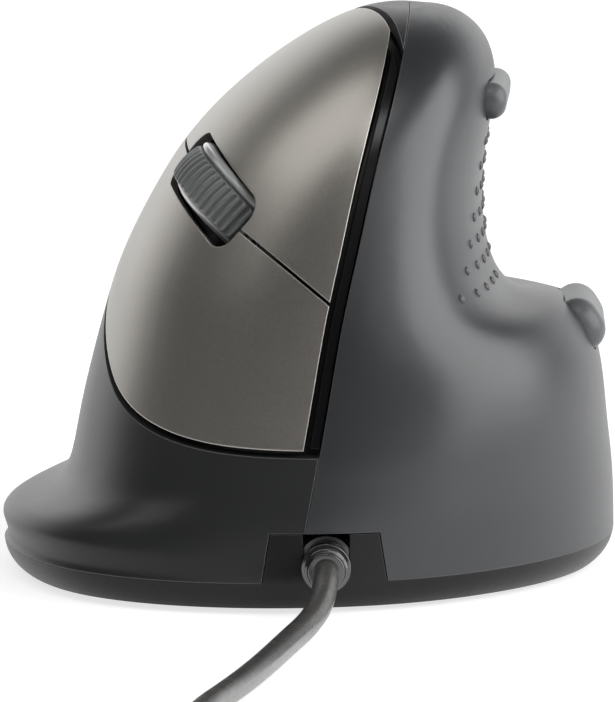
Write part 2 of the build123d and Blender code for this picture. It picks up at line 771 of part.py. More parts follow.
upper_thumb_button, upper_thumb_hole = thumb_button(upper_thumb_place, upper_thumb_length, upper_thumb_width)
lower_thumb_button, lower_thumb_hole = thumb_button(lower_thumb_place, lower_thumb_length, lower_thumb_width)
upper_thumb_board, upper_thumb_posts = thumb_board(upper_thumb_place)
lower_thumb_board, lower_thumb_posts = thumb_board(lower_thumb_place)
upper_thumb_switch, upper_thumb_plunger = tact_switch(upper_thumb_place.offset(thumb_board_top))
lower_thumb_switch, lower_thumb_plunger = tact_switch(lower_thumb_place.offset(thumb_board_top))

with BuildPart() as thumb_shell:
    add(hull - left_of_seam(seam_gap))
    add(tab_space, mode=Mode.SUBTRACT)
    add(upper_thumb_hole, mode=Mode.SUBTRACT)
    add(lower_thumb_hole, mode=Mode.SUBTRACT)
    add(upper_thumb_posts)
    add(lower_thumb_posts)
    add(thumb_bosses)

# Grip dots: rows of small beads set in the thumb shell, seven rows of five
dot_rows = [(0.533, -0.726), (0.572, -0.625), (0.611, -0.543), (0.651, -0.467), (0.692, -0.413),
            (0.732, -0.361), (0.771, -0.308)]
dot_columns = 5
dot_pitch = 6.0
dot_radius = 0.8
dot_sunk = 0.4

with BuildPart() as grip_dots:
    for dot_height, dot_start in dot_rows:
        for column in range(dot_columns):
            aim = Vector(0, dot_start * half_length + column * dot_pitch, dot_height * body_height)
            place, normal = skin_point(aim, Vector(1, 0, 0))
            with Locations(Plane(origin=place, z_dir=normal)):
                Sphere(dot_radius, arc_size1=degrees(asin(dot_sunk / dot_radius)),
                       align=(Align.CENTER, Align.CENTER, Align.MIN))

# Main board with the optical sensor, the controller and the cable's connector
sensor_side = 9.0
sensor_height = 2.5
lens_length = 16.0
lens_width = 11.0
light_hole = 5.0
chip_side = 8.0
chip_height = 1.1
chip_x = 12.0
chip_y = 16.0
crystal_length = 9.0
crystal_width = 3.6
crystal_height = 3.2
crystal_x = -12.0
capacitor_radius = 2.0
capacitor_height = 5.0
capacitor_x = 13.0
capacitor_y = -28.0
socket_length = 9.0
socket_width = 3.0
socket_height = 3.5
connector_length = 10.0
connector_depth = 4.0
connector_bottom = 4.4
connector_top = 9.2
cord_radius = 1.8
flange_back = 55.1
ribbon_wall = 0.5
ribbon_width = 8.0
ribbon_along = -8.5
ribbon_back = 16.5
lead_width = 5.0

with BuildPart() as main_board:
    add(prism(board_bottom, board_top, board_inset))
    with Locations((0, board_front, 0)):
        Box(far, far, far, align=(Align.CENTER, Align.MAX, Align.CENTER), mode=Mode.SUBTRACT)
    with BuildSketch(Plane.XY.offset(board_bottom)):
        with Locations(*[(point.X, point.Y) for point in board_screw_points]):
            Circle(screw_radius + hole_gap)
        with Locations((0, sensor_y)):
            Rectangle(light_hole, light_hole)
    extrude(amount=board_wall, mode=Mode.SUBTRACT)

with BuildPart() as sensor_lens:
    with Locations((0, sensor_y, floor_top)):
        Box(lens_width, lens_length, board_bottom - floor_top, align=(Align.CENTER, Align.CENTER, Align.MIN))

with BuildPart() as sensor_chip:
    with Locations((0, sensor_y, board_top)):
        Box(sensor_side, sensor_side, sensor_height, align=(Align.CENTER, Align.CENTER, Align.MIN))

ribbon_foot = deck.from_local_coords(Vector(ribbon_along, ribbon_back, -deck_drop - deck_board_wall))
lower_lead_foot = lower_thumb_place.from_local_coords(Vector(0, 0, thumb_board_bottom))

with BuildPart() as board_components:
    with Locations((chip_x, chip_y, board_top)):
        Box(chip_side, chip_side, chip_height, align=(Align.CENTER, Align.CENTER, Align.MIN))
    with Locations((crystal_x, chip_y, board_top)):
        Box(crystal_width, crystal_length, crystal_height, align=(Align.CENTER, Align.CENTER, Align.MIN))
    with Locations((capacitor_x, capacitor_y, board_top), (capacitor_x, capacitor_y + chip_side, board_top)):
        Cylinder(capacitor_radius, capacitor_height, align=(Align.CENTER, Align.CENTER, Align.MIN))
    for place in (ribbon_foot, lower_lead_foot):
        with Locations((place.X + ribbon_wall / 2, place.Y, board_top)):
            Box(socket_width, socket_length, socket_height, align=(Align.MIN, Align.CENTER, Align.MIN))

with BuildPart() as cable_connector:
    with Locations((boot_x, board_front, connector_bottom)):
        Box(connector_length, connector_depth, connector_top - connector_bottom,
            align=(Align.CENTER, Align.MAX, Align.MIN))

with BuildPart() as cable_lead:
    with BuildSketch(Plane.XZ.offset(connector_depth - board_front)):
        with Locations((boot_x, boot_z)):
            Circle(cord_radius)
    extrude(amount=flange_back - connector_depth + board_front)

with BuildPart() as button_ribbon:
    with Locations((ribbon_foot.X, ribbon_foot.Y, board_top)):
        Box(ribbon_wall, ribbon_width, body_height, align=(Align.CENTER, Align.CENTER, Align.MIN))
    add(half_space(deck.offset(-deck_drop - deck_board_wall)), mode=Mode.SUBTRACT)

with BuildPart() as lower_thumb_lead:
    with Locations((lower_lead_foot.X, lower_lead_foot.Y, board_top)):
        Box(ribbon_wall, lead_width, body_height, align=(Align.CENTER, Align.CENTER, Align.MIN))
    add(half_space(lower_thumb_place.offset(thumb_board_bottom)), mode=Mode.SUBTRACT)

with BuildPart() as upper_thumb_lead:
    with BuildSketch(upper_thumb_place.offset(thumb_board_bottom)):
        Rectangle(lead_width, 2 * body_height)
    extrude(amount=-ribbon_wall)
    with Locations((0, 0, board_top)):
        Box(far, far, upper_thumb_place.origin.Z - board_top, align=(Align.CENTER, Align.CENTER, Align.MIN),
            mode=Mode.INTERSECT)

# Screws of the boards: two under the deck board, two in each thumb board, four in the main board


def screw(place):
    """One small screw on a plane: its head outside and its shank inside the post."""
    with BuildPart(place) as piece:
        Cylinder(screw_head_radius, screw_head_height, align=(Align.CENTER, Align.CENTER, Align.MIN))
        Cylinder(screw_radius, screw_length, align=(Align.CENTER, Align.CENTER, Align.MAX))
    return piece.part


screw_places = [Plane(origin=deck.from_local_coords(Vector(along, back, -deck_drop - deck_board_wall)),
                      x_dir=axle_way, z_dir=-out_way) for along, back in deck_posts]
for thumb_plane in (upper_thumb_place, lower_thumb_place):
    for end in (-1, 1):
        corner = Vector(end * thumb_board_length * thumb_post_share, 0, thumb_board_bottom)
        screw_places.append(Plane(origin=thumb_plane.from_local_coords(corner),
                                  x_dir=thumb_plane.x_dir, z_dir=-thumb_plane.z_dir))
for point in board_screw_points:
    screw_places.append(Plane(origin=(point.X, point.Y, board_top), z_dir=(0, 0, 1)))
screw_pieces = [screw(place) for place in screw_places]

with BuildPart() as board_screws:
    for piece in screw_pieces:
        add(piece)

# Glide feet under the base
front_foot_y = -46.0
rear_foot_y = 47.0
side_foot_x = 31.0
side_foot_y = -2.0
foot_length = 22.0
foot_width = 6.0

with BuildPart() as glide_feet:
    with BuildSketch(Plane.XY):
        with Locations((0, front_foot_y), (0, rear_foot_y)):
            SlotOverall(foot_length, foot_width)
        with Locations((-side_foot_x, side_foot_y), (side_foot_x, side_foot_y)):
            SlotOverall(foot_length, foot_width, rotation=90)
    extrude(amount=foot_height)

# Strain relief at the front: a flange held behind the tab, a barrel through its notch, a collar and
# two steps down to the cable.
flange_radius_boot = 4.0
flange_front = 57.1
collar_back = 60.3
collar_front = 61.3
collar_radius = 3.45
step_radii = (2.7, 3.05, 2.6)
step_ends = (62.1, 63.0, 64.4)


def boot_disc(radius, back, front):
    """One round step of the strain relief."""
    with BuildPart() as disc:
        with BuildSketch(Plane.XZ.offset(back)):
            with Locations((boot_x, boot_z)):
                Circle(radius)
        extrude(amount=front - back)
    return disc.part


boot_discs = [boot_disc(flange_radius_boot, flange_back, flange_front),
              boot_disc(barrel_radius, flange_front, collar_back),
              boot_disc(collar_radius, collar_back, collar_front)]
disc_back = collar_front
for disc_radius, disc_front in zip(step_radii, step_ends):
    boot_discs.append(boot_disc(disc_radius, disc_back, disc_front))
    disc_back = disc_front

with BuildPart() as cable_boot:
    for disc in boot_discs:
        add(disc)

# The cable lies on the desk from the strain relief to a tied coil, whose other end runs to the plug.
cable_points = [(2.6, -64.4, 6.8), (2.6, -68.4, 6.8), (1.6, -75.2, 3.7), (-0.6, -82.0, 2.2),
                (-3.5, -93.0, 1.8), (-7.7, -117.0, 1.8), (-12.0, -136.0, 1.8), (-15.4, -155.0, 1.9),
                (-17.0, -178.0, 2.1), (-17.4, -202.0, 2.2), (-15.9, -224.0, 2.3),
                (-14.2, -241.0, 2.3), (-14.2, -252.9, 2.3)]
coil_radius = 30.2
coil_pitch = 4.1
coil_turns = 5
coil_floor = 2.3
coil_x = 16.0
coil_y = -256.5
coil_lead = 3.6
run_share = 0.45


def arc_radii(points):
    """The largest radius each corner of a route allows, from its shorter run and its turn."""
    radii = []
    for before, here, after in zip(points, points[1:], points[2:]):
        arrive = Vector(*here) - Vector(*before)
        leave = Vector(*after) - Vector(*here)
        turn = radians(arrive.get_angle(leave))
        radii.append(run_share * min(arrive.length, leave.length) / tan(turn / 2))
    return radii


def cord(points):
    """A cord tube along a route of straight runs joined by tangent arcs."""
    radii = arc_radii(points)
    with BuildPart() as tube:
        with BuildLine() as path:
            FilletPolyline(*points, radius=radii)
        with BuildSketch(Plane(origin=path.line @ 0, z_dir=path.line % 0)):
            Circle(cord_radius)
        sweep()
    length = path.wires()[0].length
    ratio = tube.part.volume / (pi * cord_radius ** 2 * length)
    print("cord radii", [round(radius, 1) for radius in radii], "length", round(length, 1),
          "volume ratio", round(ratio, 4))
    return tube


def coil_halves():
    """Half turns of the coil in order: where each starts, its radius, its level and its side."""
    halves = []
    radii = [coil_radius - coil_pitch / 2 * step for step in range(2 * coil_turns)]
    x = coil_x - coil_radius
    for step, radius in enumerate(radii):
        side = -1 if step % 2 == 0 else 1
        halves.append((x, radius, coil_floor, side))
        x -= 2 * radius * side
    climb_x = x
    x += 2 * (radii[-1] - coil_pitch / 2)
    for step, radius in enumerate(reversed(radii)):
        side = 1 if step % 2 == 0 else -1
        halves.append((x, radius, coil_floor + coil_pitch, side))
        x -= 2 * radius * side
    return halves, climb_x, x


halves, climb_x, exit_x = coil_halves()
climb_radius = coil_radius - coil_pitch * coil_turns
climb_start = Vector(climb_x, coil_y, coil_floor)
climb_end = Vector(climb_x + 2 * climb_radius, coil_y, coil_floor + coil_pitch)
climb_depth = (climb_end - climb_start).length / 2
climb_way = (climb_end - climb_start).normalized()
climb_middle = (climb_start + climb_end) / 2 - Vector(0, climb_depth, 0)
slant = sin(pi / 4)
first_bulge = climb_start + climb_way * climb_depth * (1 - slant) - Vector(0, climb_depth * slant, 0)
last_bulge = climb_end - climb_way * climb_depth * (1 - slant) - Vector(0, climb_depth * slant, 0)
coil_start = Vector(coil_x - coil_radius, coil_y, coil_floor)
coil_end = Vector(exit_x, coil_y, coil_floor + coil_pitch)
lead_run = Vector(0, coil_lead, 0)

with BuildPart() as cable_coil:
    with BuildLine() as coil_path:
        Line(coil_start + lead_run, coil_start)
        for index, (x, radius, level, side) in enumerate(halves):
            if index == 2 * coil_turns:
                ThreePointArc(climb_start, first_bulge, climb_middle)
                ThreePointArc(climb_middle, last_bulge, climb_end)
            across = -2 * radius * side
            ThreePointArc((x, coil_y, level), (x + across / 2, coil_y + side * radius, level),
                          (x + across, coil_y, level))
        Line(coil_end, coil_end + lead_run)
    with BuildSketch(Plane(origin=coil_start + lead_run, z_dir=(0, -1, 0))):
        Circle(cord_radius)
    sweep()

coil_length = coil_path.wires()[0].length
coil_ratio = cable_coil.part.volume / (pi * cord_radius ** 2 * coil_length)
coil_steps = int(coil_length)
coil_line = [coil_path.wires()[0] @ (step / coil_steps) for step in range(coil_steps + 1)]
skip_steps = 12
spans = [(one - other).length for place, one in enumerate(coil_line)
         for other in coil_line[place + skip_steps:]]
nearest = min(spans)
print("coil length", round(coil_length, 1), "volume ratio", round(coil_ratio, 4),
      "least gap to itself", round(nearest - 2 * cord_radius, 2))

plug_x = 46.5
plug_z = 4.0
plug_back = -228.9
plug_length = 24.0
plug_width = 15.7
plug_height = 8.0
plug_round = 2.0
mouth_width = 12.0
mouth_height = 4.5
mouth_length = 18.75
mouth_wall = 0.3
tongue_clearance = 0.2
tongue_height = 1.84
contact_width = 1.0
contact_wall = 0.15
contact_length = 7.0
contact_places = (-3.5, -1.0, 1.0, 3.5)

cable = cord(cable_points)
cable_tail = cord([coil_end + lead_run, coil_end + Vector(0, 2.7 * coil_lead, 0),
                   Vector(plug_x, plug_back - 1.7 * coil_lead, plug_z), Vector(plug_x, plug_back, plug_z)])

tie_clearance = 0.35
tie_wall = 0.4
tie_width = 5.0
tie_foot = 0.45
tie_outer_y = coil_y - coil_radius - cord_radius - tie_clearance
tie_inner_y = coil_y - climb_depth + cord_radius + 2 * tie_clearance
tie_top = coil_floor + coil_pitch + cord_radius + tie_clearance

tie_length = tie_inner_y - tie_outer_y
tie_rise = tie_top - tie_foot

with BuildPart() as cable_tie:
    with BuildSketch(Plane.YZ.offset(coil_x - tie_width / 2)):
        with Locations(((tie_outer_y + tie_inner_y) / 2, (tie_foot + tie_top) / 2)):
            RectangleRounded(tie_length + 2 * tie_wall, tie_rise + 2 * tie_wall, 2 * tie_wall)
            RectangleRounded(tie_length, tie_rise, tie_wall, mode=Mode.SUBTRACT)
    extrude(amount=tie_width)

plug_end = Plane(origin=(plug_x, plug_back, plug_z), x_dir=(-1, 0, 0), z_dir=(0, 1, 0))

with BuildPart() as plug_body:
    with BuildSketch(plug_end):
        RectangleRounded(plug_width, plug_height, plug_round)
    extrude(amount=plug_length)

with BuildPart() as plug_shell:
    with BuildSketch(plug_end.offset(plug_length)):
        Rectangle(mouth_width, mouth_height)
        Rectangle(mouth_width - 2 * mouth_wall, mouth_height - 2 * mouth_wall, mode=Mode.SUBTRACT)
    extrude(amount=mouth_length)

tongue_foot = plug_z - mouth_height / 2 + mouth_wall

with BuildPart() as plug_tongue:
    with Locations((plug_x, plug_back + plug_length, tongue_foot)):
        Box(mouth_width - 2 * mouth_wall - tongue_clearance, mouth_length - 2 * mouth_wall, tongue_height,
            align=(Align.CENTER, Align.MIN, Align.MIN))

contact_back = plug_back + plug_length + mouth_length - contact_length

with BuildPart() as plug_contacts:
    for place in contact_places:
        with Locations((plug_x + place, contact_back, tongue_foot + tongue_height)):
            Box(contact_width, contact_length - 2 * mouth_wall, contact_wall,
                align=(Align.CENTER, Align.MIN, Align.MIN))

base_shell.part.label = "base_shell"
export_step(base_shell.part, "parts/base_shell.step")
finger_shell.part.label = "finger_shell"
export_step(finger_shell.part, "parts/finger_shell.step")
thumb_shell.part.label = "thumb_shell"
export_step(thumb_shell.part, "parts/thumb_shell.step")
button_frame.part.label = "button_frame"
export_step(button_frame.part, "parts/button_frame.step")
upper_button.part.label = "upper_button"
export_step(upper_button.part, "parts/upper_button.step")
lower_button.part.label = "lower_button"
export_step(lower_button.part, "parts/lower_button.step")
wheel_tyre.part.label = "wheel_tyre"
export_step(wheel_tyre.part, "parts/wheel_tyre.step")
wheel_hub.part.label = "wheel_hub"
export_step(wheel_hub.part, "parts/wheel_hub.step")
encoder_rotor.part.label = "encoder_rotor"
export_step(encoder_rotor.part, "parts/encoder_rotor.step")
wheel_encoder.part.label = "wheel_encoder"
export_step(wheel_encoder.part, "parts/wheel_encoder.step")
wheel_carriage.part.label = "wheel_carriage"
export_step(wheel_carriage.part, "parts/wheel_carriage.step")
button_board.part.label = "button_board"
export_step(button_board.part, "parts/button_board.step")
upper_switch.part.label = "upper_switch"
export_step(upper_switch.part, "parts/upper_switch.step")
upper_switch_plunger.part.label = "upper_switch_plunger"
export_step(upper_switch_plunger.part, "parts/upper_switch_plunger.step")
lower_switch.part.label = "lower_switch"
export_step(lower_switch.part, "parts/lower_switch.step")
lower_switch_plunger.part.label = "lower_switch_plunger"
export_step(lower_switch_plunger.part, "parts/lower_switch_plunger.step")
wheel_switch.part.label = "wheel_switch"
export_step(wheel_switch.part, "parts/wheel_switch.step")
wheel_switch_plunger.part.label = "wheel_switch_plunger"
export_step(wheel_switch_plunger.part, "parts/wheel_switch_plunger.step")
upper_thumb_button.part.label = "upper_thumb_button"
export_step(upper_thumb_button.part, "parts/upper_thumb_button.step")
lower_thumb_button.part.label = "lower_thumb_button"
export_step(lower_thumb_button.part, "parts/lower_thumb_button.step")
upper_thumb_switch.part.label = "upper_thumb_switch"
export_step(upper_thumb_switch.part, "parts/upper_thumb_switch.step")
upper_thumb_plunger.part.label = "upper_thumb_plunger"
export_step(upper_thumb_plunger.part, "parts/upper_thumb_plunger.step")
lower_thumb_switch.part.label = "lower_thumb_switch"
export_step(lower_thumb_switch.part, "parts/lower_thumb_switch.step")
lower_thumb_plunger.part.label = "lower_thumb_plunger"
export_step(lower_thumb_plunger.part, "parts/lower_thumb_plunger.step")
upper_thumb_board.part.label = "upper_thumb_board"
export_step(upper_thumb_board.part, "parts/upper_thumb_board.step")
lower_thumb_board.part.label = "lower_thumb_board"
export_step(lower_thumb_board.part, "parts/lower_thumb_board.step")
grip_dots.part.label = "grip_dots"
export_step(grip_dots.part, "parts/grip_dots.step")
main_board.part.label = "main_board"
export_step(main_board.part, "parts/main_board.step")
sensor_lens.part.label = "sensor_lens"
export_step(sensor_lens.part, "parts/sensor_lens.step")
sensor_chip.part.label = "sensor_chip"
export_step(sensor_chip.part, "parts/sensor_chip.step")
board_components.part.label = "board_components"
export_step(board_components.part, "parts/board_components.step")
cable_connector.part.label = "cable_connector"
export_step(cable_connector.part, "parts/cable_connector.step")
cable_lead.part.label = "cable_lead"
export_step(cable_lead.part, "parts/cable_lead.step")
button_ribbon.part.label = "button_ribbon"
export_step(button_ribbon.part, "parts/button_ribbon.step")
upper_thumb_lead.part.label = "upper_thumb_lead"
export_step(upper_thumb_lead.part, "parts/upper_thumb_lead.step")
lower_thumb_lead.part.label = "lower_thumb_lead"
export_step(lower_thumb_lead.part, "parts/lower_thumb_lead.step")
board_screws.part.label = "board_screws"
export_step(board_screws.part, "parts/board_screws.step")
base_screws.part.label = "base_screws"
export_step(base_screws.part, "parts/base_screws.step")
glide_feet.part.label = "glide_feet"
export_step(glide_feet.part, "parts/glide_feet.step")
cable_boot.part.label = "cable_boot"
export_step(cable_boot.part, "parts/cable_boot.step")
cable.part.label = "cable"
export_step(cable.part, "parts/cable.step")
cable_coil.part.label = "cable_coil"
export_step(cable_coil.part, "parts/cable_coil.step")
cable_tie.part.label = "cable_tie"
export_step(cable_tie.part, "parts/cable_tie.step")
cable_tail.part.label = "cable_tail"
export_step(cable_tail.part, "parts/cable_tail.step")
plug_body.part.label = "plug_body"
export_step(plug_body.part, "parts/plug_body.step")
plug_shell.part.label = "plug_shell"
export_step(plug_shell.part, "parts/plug_shell.step")
plug_tongue.part.label = "plug_tongue"
export_step(plug_tongue.part, "parts/plug_tongue.step")
plug_contacts.part.label = "plug_contacts"
export_step(plug_contacts.part, "parts/plug_contacts.step")

hinge_start = hinge_point - out_way * pad_length
hinge_inner = skin_point(hinge_start, out_way)[0] - out_way * (key_wall + pad_inset) / 2
press_pivot = deck.from_local_coords(Vector(0, pivot_back, carriage_middle))
for title, place in (("key hinge", hinge_inner), ("axle", wheel_centre), ("press pivot", press_pivot),
                     ("upper thumb", upper_thumb_place.origin), ("lower thumb", lower_thumb_place.origin)):
    print(title, [round(value, 4) for value in (place.X, place.Y, place.Z)])
for title, way in (("axle way", axle_way), ("out way", out_way), ("back way", back_way),
                   ("upper thumb way", upper_thumb_place.z_dir),
                   ("lower thumb way", lower_thumb_place.z_dir)):
    print(title, [round(value, 5) for value in (way.X, way.Y, way.Z)])
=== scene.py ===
"""Looks of a right-handed upright mouse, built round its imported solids. Lengths are metres."""

from __future__ import annotations

import json
import logging
import math
from dataclasses import dataclass, field
from enum import Enum
from functools import cache
from typing import Iterable, Sequence

import bmesh
import bpy
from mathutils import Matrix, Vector

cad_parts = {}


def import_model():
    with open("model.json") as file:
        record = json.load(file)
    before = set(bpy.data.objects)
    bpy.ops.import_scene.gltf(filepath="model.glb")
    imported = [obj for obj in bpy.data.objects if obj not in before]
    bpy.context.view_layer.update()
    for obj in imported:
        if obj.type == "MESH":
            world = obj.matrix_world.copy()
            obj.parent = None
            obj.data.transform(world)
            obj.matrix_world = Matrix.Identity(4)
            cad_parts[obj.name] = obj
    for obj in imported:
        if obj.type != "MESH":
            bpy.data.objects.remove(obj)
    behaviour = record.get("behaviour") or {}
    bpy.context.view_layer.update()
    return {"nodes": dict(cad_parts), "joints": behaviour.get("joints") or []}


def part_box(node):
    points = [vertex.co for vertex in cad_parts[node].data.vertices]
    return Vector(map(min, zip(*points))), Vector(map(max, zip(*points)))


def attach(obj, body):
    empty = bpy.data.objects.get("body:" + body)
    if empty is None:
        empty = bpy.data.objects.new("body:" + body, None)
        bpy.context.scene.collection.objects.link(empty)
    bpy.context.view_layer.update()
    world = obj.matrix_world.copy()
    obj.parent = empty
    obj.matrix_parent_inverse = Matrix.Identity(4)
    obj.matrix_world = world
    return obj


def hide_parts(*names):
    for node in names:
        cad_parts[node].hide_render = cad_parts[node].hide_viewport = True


log = logging.getLogger("mouse")

MM = 0.001
FRAME_WIDTH = 615
FRAME_HEIGHT = 702
WHITE = (1.0, 1.0, 1.0)
BEVEL_SAMPLES = 6
EDGE_TURN = (0.02, 0.22)

Colour = tuple[float, float, float]
Profile = Sequence[tuple[float, float]]
Settings = dict[str, object]
Sockets = dict[str | int, object]


class Body(Enum):
    """The moving bodies that new pieces ride on."""

    HOUSING = "housing"
    WHEEL = "wheel"


class Slot(Enum):
    """The record's material slots, one named for each kind of new piece."""

    TYRE = "wheel_rubber"
    HUB = "wheel_plastic"
    BOOT = "boot_rubber"
    CABLE = "cable_sleeve"
    TIE = "tie_plastic"
    PLUG = "plug_plastic"
    PLUG_STEEL = "plug_steel"


class Space(Enum):
    """Coordinates that a pattern can be laid in."""

    OBJECT = "Object"
    GENERATED = "Generated"


class Expression:
    """One output of a shader graph, which Python arithmetic turns into Math nodes."""

    def __init__(self, graph: Graph, socket: bpy.types.NodeSocket) -> None:
        """Keeps the socket and the graph that it belongs to."""
        self.graph = graph
        self.socket = socket

    def _math(self, operation: str, first: Expression | float, second: Expression | float) -> Expression:
        """Adds one Math node and gives its result."""
        return self.graph.make("ShaderNodeMath", {"operation": operation}, {0: first, 1: second})

    def __add__(self, other: Expression | float) -> Expression:
        """This value plus another."""
        return self._math("ADD", self, other)

    def __sub__(self, other: Expression | float) -> Expression:
        """This value less another."""
        return self._math("SUBTRACT", self, other)

    def __rsub__(self, other: float) -> Expression:
        """A number less this value."""
        return self._math("SUBTRACT", other, self)

    def __mul__(self, other: Expression | float) -> Expression:
        """This value times another."""
        return self._math("MULTIPLY", self, other)

    __radd__ = __add__
    __rmul__ = __mul__

    def most(self, other: Expression | float) -> Expression:
        """The larger of this value and another."""
        return self._math("MAXIMUM", self, other)

    def wave(self) -> Expression:
        """The sine of this value, in radians."""
        return self._math("SINE", self, 0.0)

    def ramp(self, low: float, high: float) -> Expression:
        """This value stretched smoothly, from 0 at low and below to 1 at high and above."""
        sockets = {"Value": self, "From Min": low, "From Max": high}
        return self.graph.make("ShaderNodeMapRange", {"interpolation_type": "SMOOTHSTEP"}, sockets)


class Graph:
    """The node graph of one material or of the world."""

    def __init__(self, owner: bpy.types.Material | bpy.types.World) -> None:
        """Empties the owner's node graph and keeps it."""
        owner.use_nodes = True
        self.nodes = owner.node_tree.nodes
        self.links = owner.node_tree.links
        self.nodes.clear()

    def add(self, kind: str, settings: Settings, sockets: Sockets) -> bpy.types.Node:
        """Adds a node, sets its options first and its sockets after them.

        Args:
            kind: the node's type.
            settings: its options.
            sockets: values or expressions for its inputs, by name or by number.

        Returns:
            The new node.
        """
        node = self.nodes.new(kind)
        for name, value in settings.items():
            setattr(node, name, value)
        for name, value in sockets.items():
            if isinstance(value, Expression):
                self.links.new(value.socket, node.inputs[name])
            else:
                node.inputs[name].default_value = value
        return node

    def make(self, kind: str, settings: Settings, sockets: Sockets, output: str | int = 0) -> Expression:
        """Adds a node and gives one of its outputs as an expression."""
        return Expression(self, self.add(kind, settings, sockets).outputs[output])

    def place(self, space: Space) -> Expression:
        """The coordinates of the point that is shaded."""
        return self.make("ShaderNodeTexCoord", {}, {}, space.value)

    def noise(self, place: Expression, size: float, detail: float = 2.0) -> Expression:
        """Soft noise between 0 and 1, in blotches of a size with finer layers on them."""
        return self.make("ShaderNodeTexNoise", {}, {"Vector": place, "Scale": 1 / size, "Detail": detail})

    def mix(self, share: Expression | float, first: object, second: object) -> Expression:
        """A colour between two: the first where the share is 0, the second where it is 1."""
        sockets = {0: share, 6: rgba(first), 7: rgba(second)}
        return self.make("ShaderNodeMix", {"data_type": "RGBA"}, sockets, 2)

    def bevel(self, radius: float) -> Expression:
        """The surface's normal, as if its edges were rounded by a radius."""
        return self.make("ShaderNodeBevel", {"samples": BEVEL_SAMPLES}, {"Radius": radius})

    def edge_mask(self, radius: float) -> Expression:
        """How near a sharp edge is, from 0 on open surface to about 1 at the edge.

        Args:
            radius: how far from an edge the mask reaches.

        Returns:
            The mask.
        """
        plain = self.make("ShaderNodeNewGeometry", {}, {}, "Normal")
        sockets = {0: self.bevel(radius), 1: plain}
        dot = self.make("ShaderNodeVectorMath", {"operation": "DOT_PRODUCT"}, sockets, "Value")
        return (1.0 - dot).ramp(*EDGE_TURN)

    def bump(self, height: Expression, depth: float, strength: float = 1.0, edge: float = 0.0) -> Expression:
        """The normal of a fine relief.

        Args:
            height: the relief, between 0 and 1.
            depth: its depth.
            strength: how much of it shows.
            edge: the radius by which sharp edges look rounded under it, or 0.

        Returns:
            The normal.
        """
        sockets = {"Height": height, "Distance": depth, "Strength": strength}
        if edge:
            sockets["Normal"] = self.bevel(edge)
        return self.make("ShaderNodeBump", {}, sockets)

    def rays(self) -> tuple[Expression, Expression]:
        """Tells rays apart by where they come from.

        Returns:
            Whether a ray is seen directly or through clear plastic, and whether it is seen in gloss.
        """
        path = self.add("ShaderNodeLightPath", {}, {})
        camera = Expression(self, path.outputs["Is Camera Ray"])
        clear = Expression(self, path.outputs["Is Transmission Ray"])
        return camera.most(clear), Expression(self, path.outputs["Is Glossy Ray"])

    def end(self, kind: str, shader: bpy.types.Node) -> None:
        """Ends the graph in an output node that a shader feeds."""
        self.links.new(shader.outputs[0], self.add(kind, {}, {}).inputs["Surface"])

    def surface(self, sockets: Sockets) -> None:
        """Ends a material in one Principled surface with these inputs."""
        self.end("ShaderNodeOutputMaterial", self.add("ShaderNodeBsdfPrincipled", {}, sockets))


def rgba(colour: object) -> object:
    """Adds a full alpha to a plain colour and leaves an expression as it is."""
    return colour if isinstance(colour, Expression) else (*colour, 1.0)


class Coat(Enum):
    """Whether a finish has a clear glossy layer on top."""

    NONE = 0.0
    FULL = 1.0


@dataclass(frozen=True)
class Finish:
    """A named finish, which each kind lays on a material in its own way."""

    name: str
    colour: Colour

    @cache
    def build(self) -> bpy.types.Material:
        """Builds the material when it is first asked for.

        Returns:
            The material, the same one each time.
        """
        material = bpy.data.materials.new(self.name)
        graph = Graph(material)
        self.lay(graph, graph.place(Space.OBJECT))
        return material

    def lay(self, graph: Graph, place: Expression) -> None:
        """Adds the nodes of the finish, with its patterns laid by place."""
        raise NotImplementedError

    def shade(self, factor: float) -> Colour:
        """The finish's colour, darker below a factor of 1 and lighter above it."""
        return tuple(min(channel * factor, 1.0) for channel in self.colour)


@dataclass(frozen=True)
class Moulding(Finish):
    """A moulded plastic or rubber finish: fine grain, slow mottling, and edges lightened in the colour as a
    painted highlight.
    """

    roughness: float
    sheen: float = 0.0
    coat: Coat = Coat.NONE
    coat_roughness: float = 0.12
    specular: float = 0.5
    grain: float = 0.25 * MM
    grain_depth: float = 0.004 * MM
    grain_matting: float = 0.04
    mottle: float = 14 * MM
    mottle_share: float = 0.10
    mottle_matting: float = 0.16
    edge: float = 0.22 * MM
    # edge_light, edge_gain and edge_tone set the painted highlight along the edges: its share and how much
    # lighter its colour is.
    edge_light: float = 0.35
    edge_gain: float = 2.2
    edge_tone: float = 0.06

    def lay(self, graph: Graph, place: Expression) -> None:
        """Lays the colour with its mottling, grain and painted edge highlights."""
        patches = graph.noise(place, self.mottle)
        grain = graph.noise(place, self.grain)
        # Sharp edges are mixed towards a lighter copy of the colour: a painted highlight along the edges.
        wear_and_painted_highlight = graph.edge_mask(self.edge) * self.edge_light
        base = graph.mix(patches, self.shade(1 - self.mottle_share), self.shade(1 + self.mottle_share))
        # The lighter copy of the colour for the painted edge highlight.
        edge = tuple(min(channel * self.edge_gain + self.edge_tone, 1.0) for channel in self.colour)
        matting = 1 - self.mottle_matting / 2 + patches * self.mottle_matting
        graph.surface({
            "Base Color": graph.mix(wear_and_painted_highlight, base, edge),
            "Roughness": self.roughness * matting + grain * self.grain_matting,
            "Specular IOR Level": self.specular,
            "Sheen Weight": self.sheen,
            "Coat Weight": self.coat.value,
            "Coat Roughness": self.coat_roughness,
            "Normal": graph.bump(grain, self.grain_depth, edge=self.edge),
        })


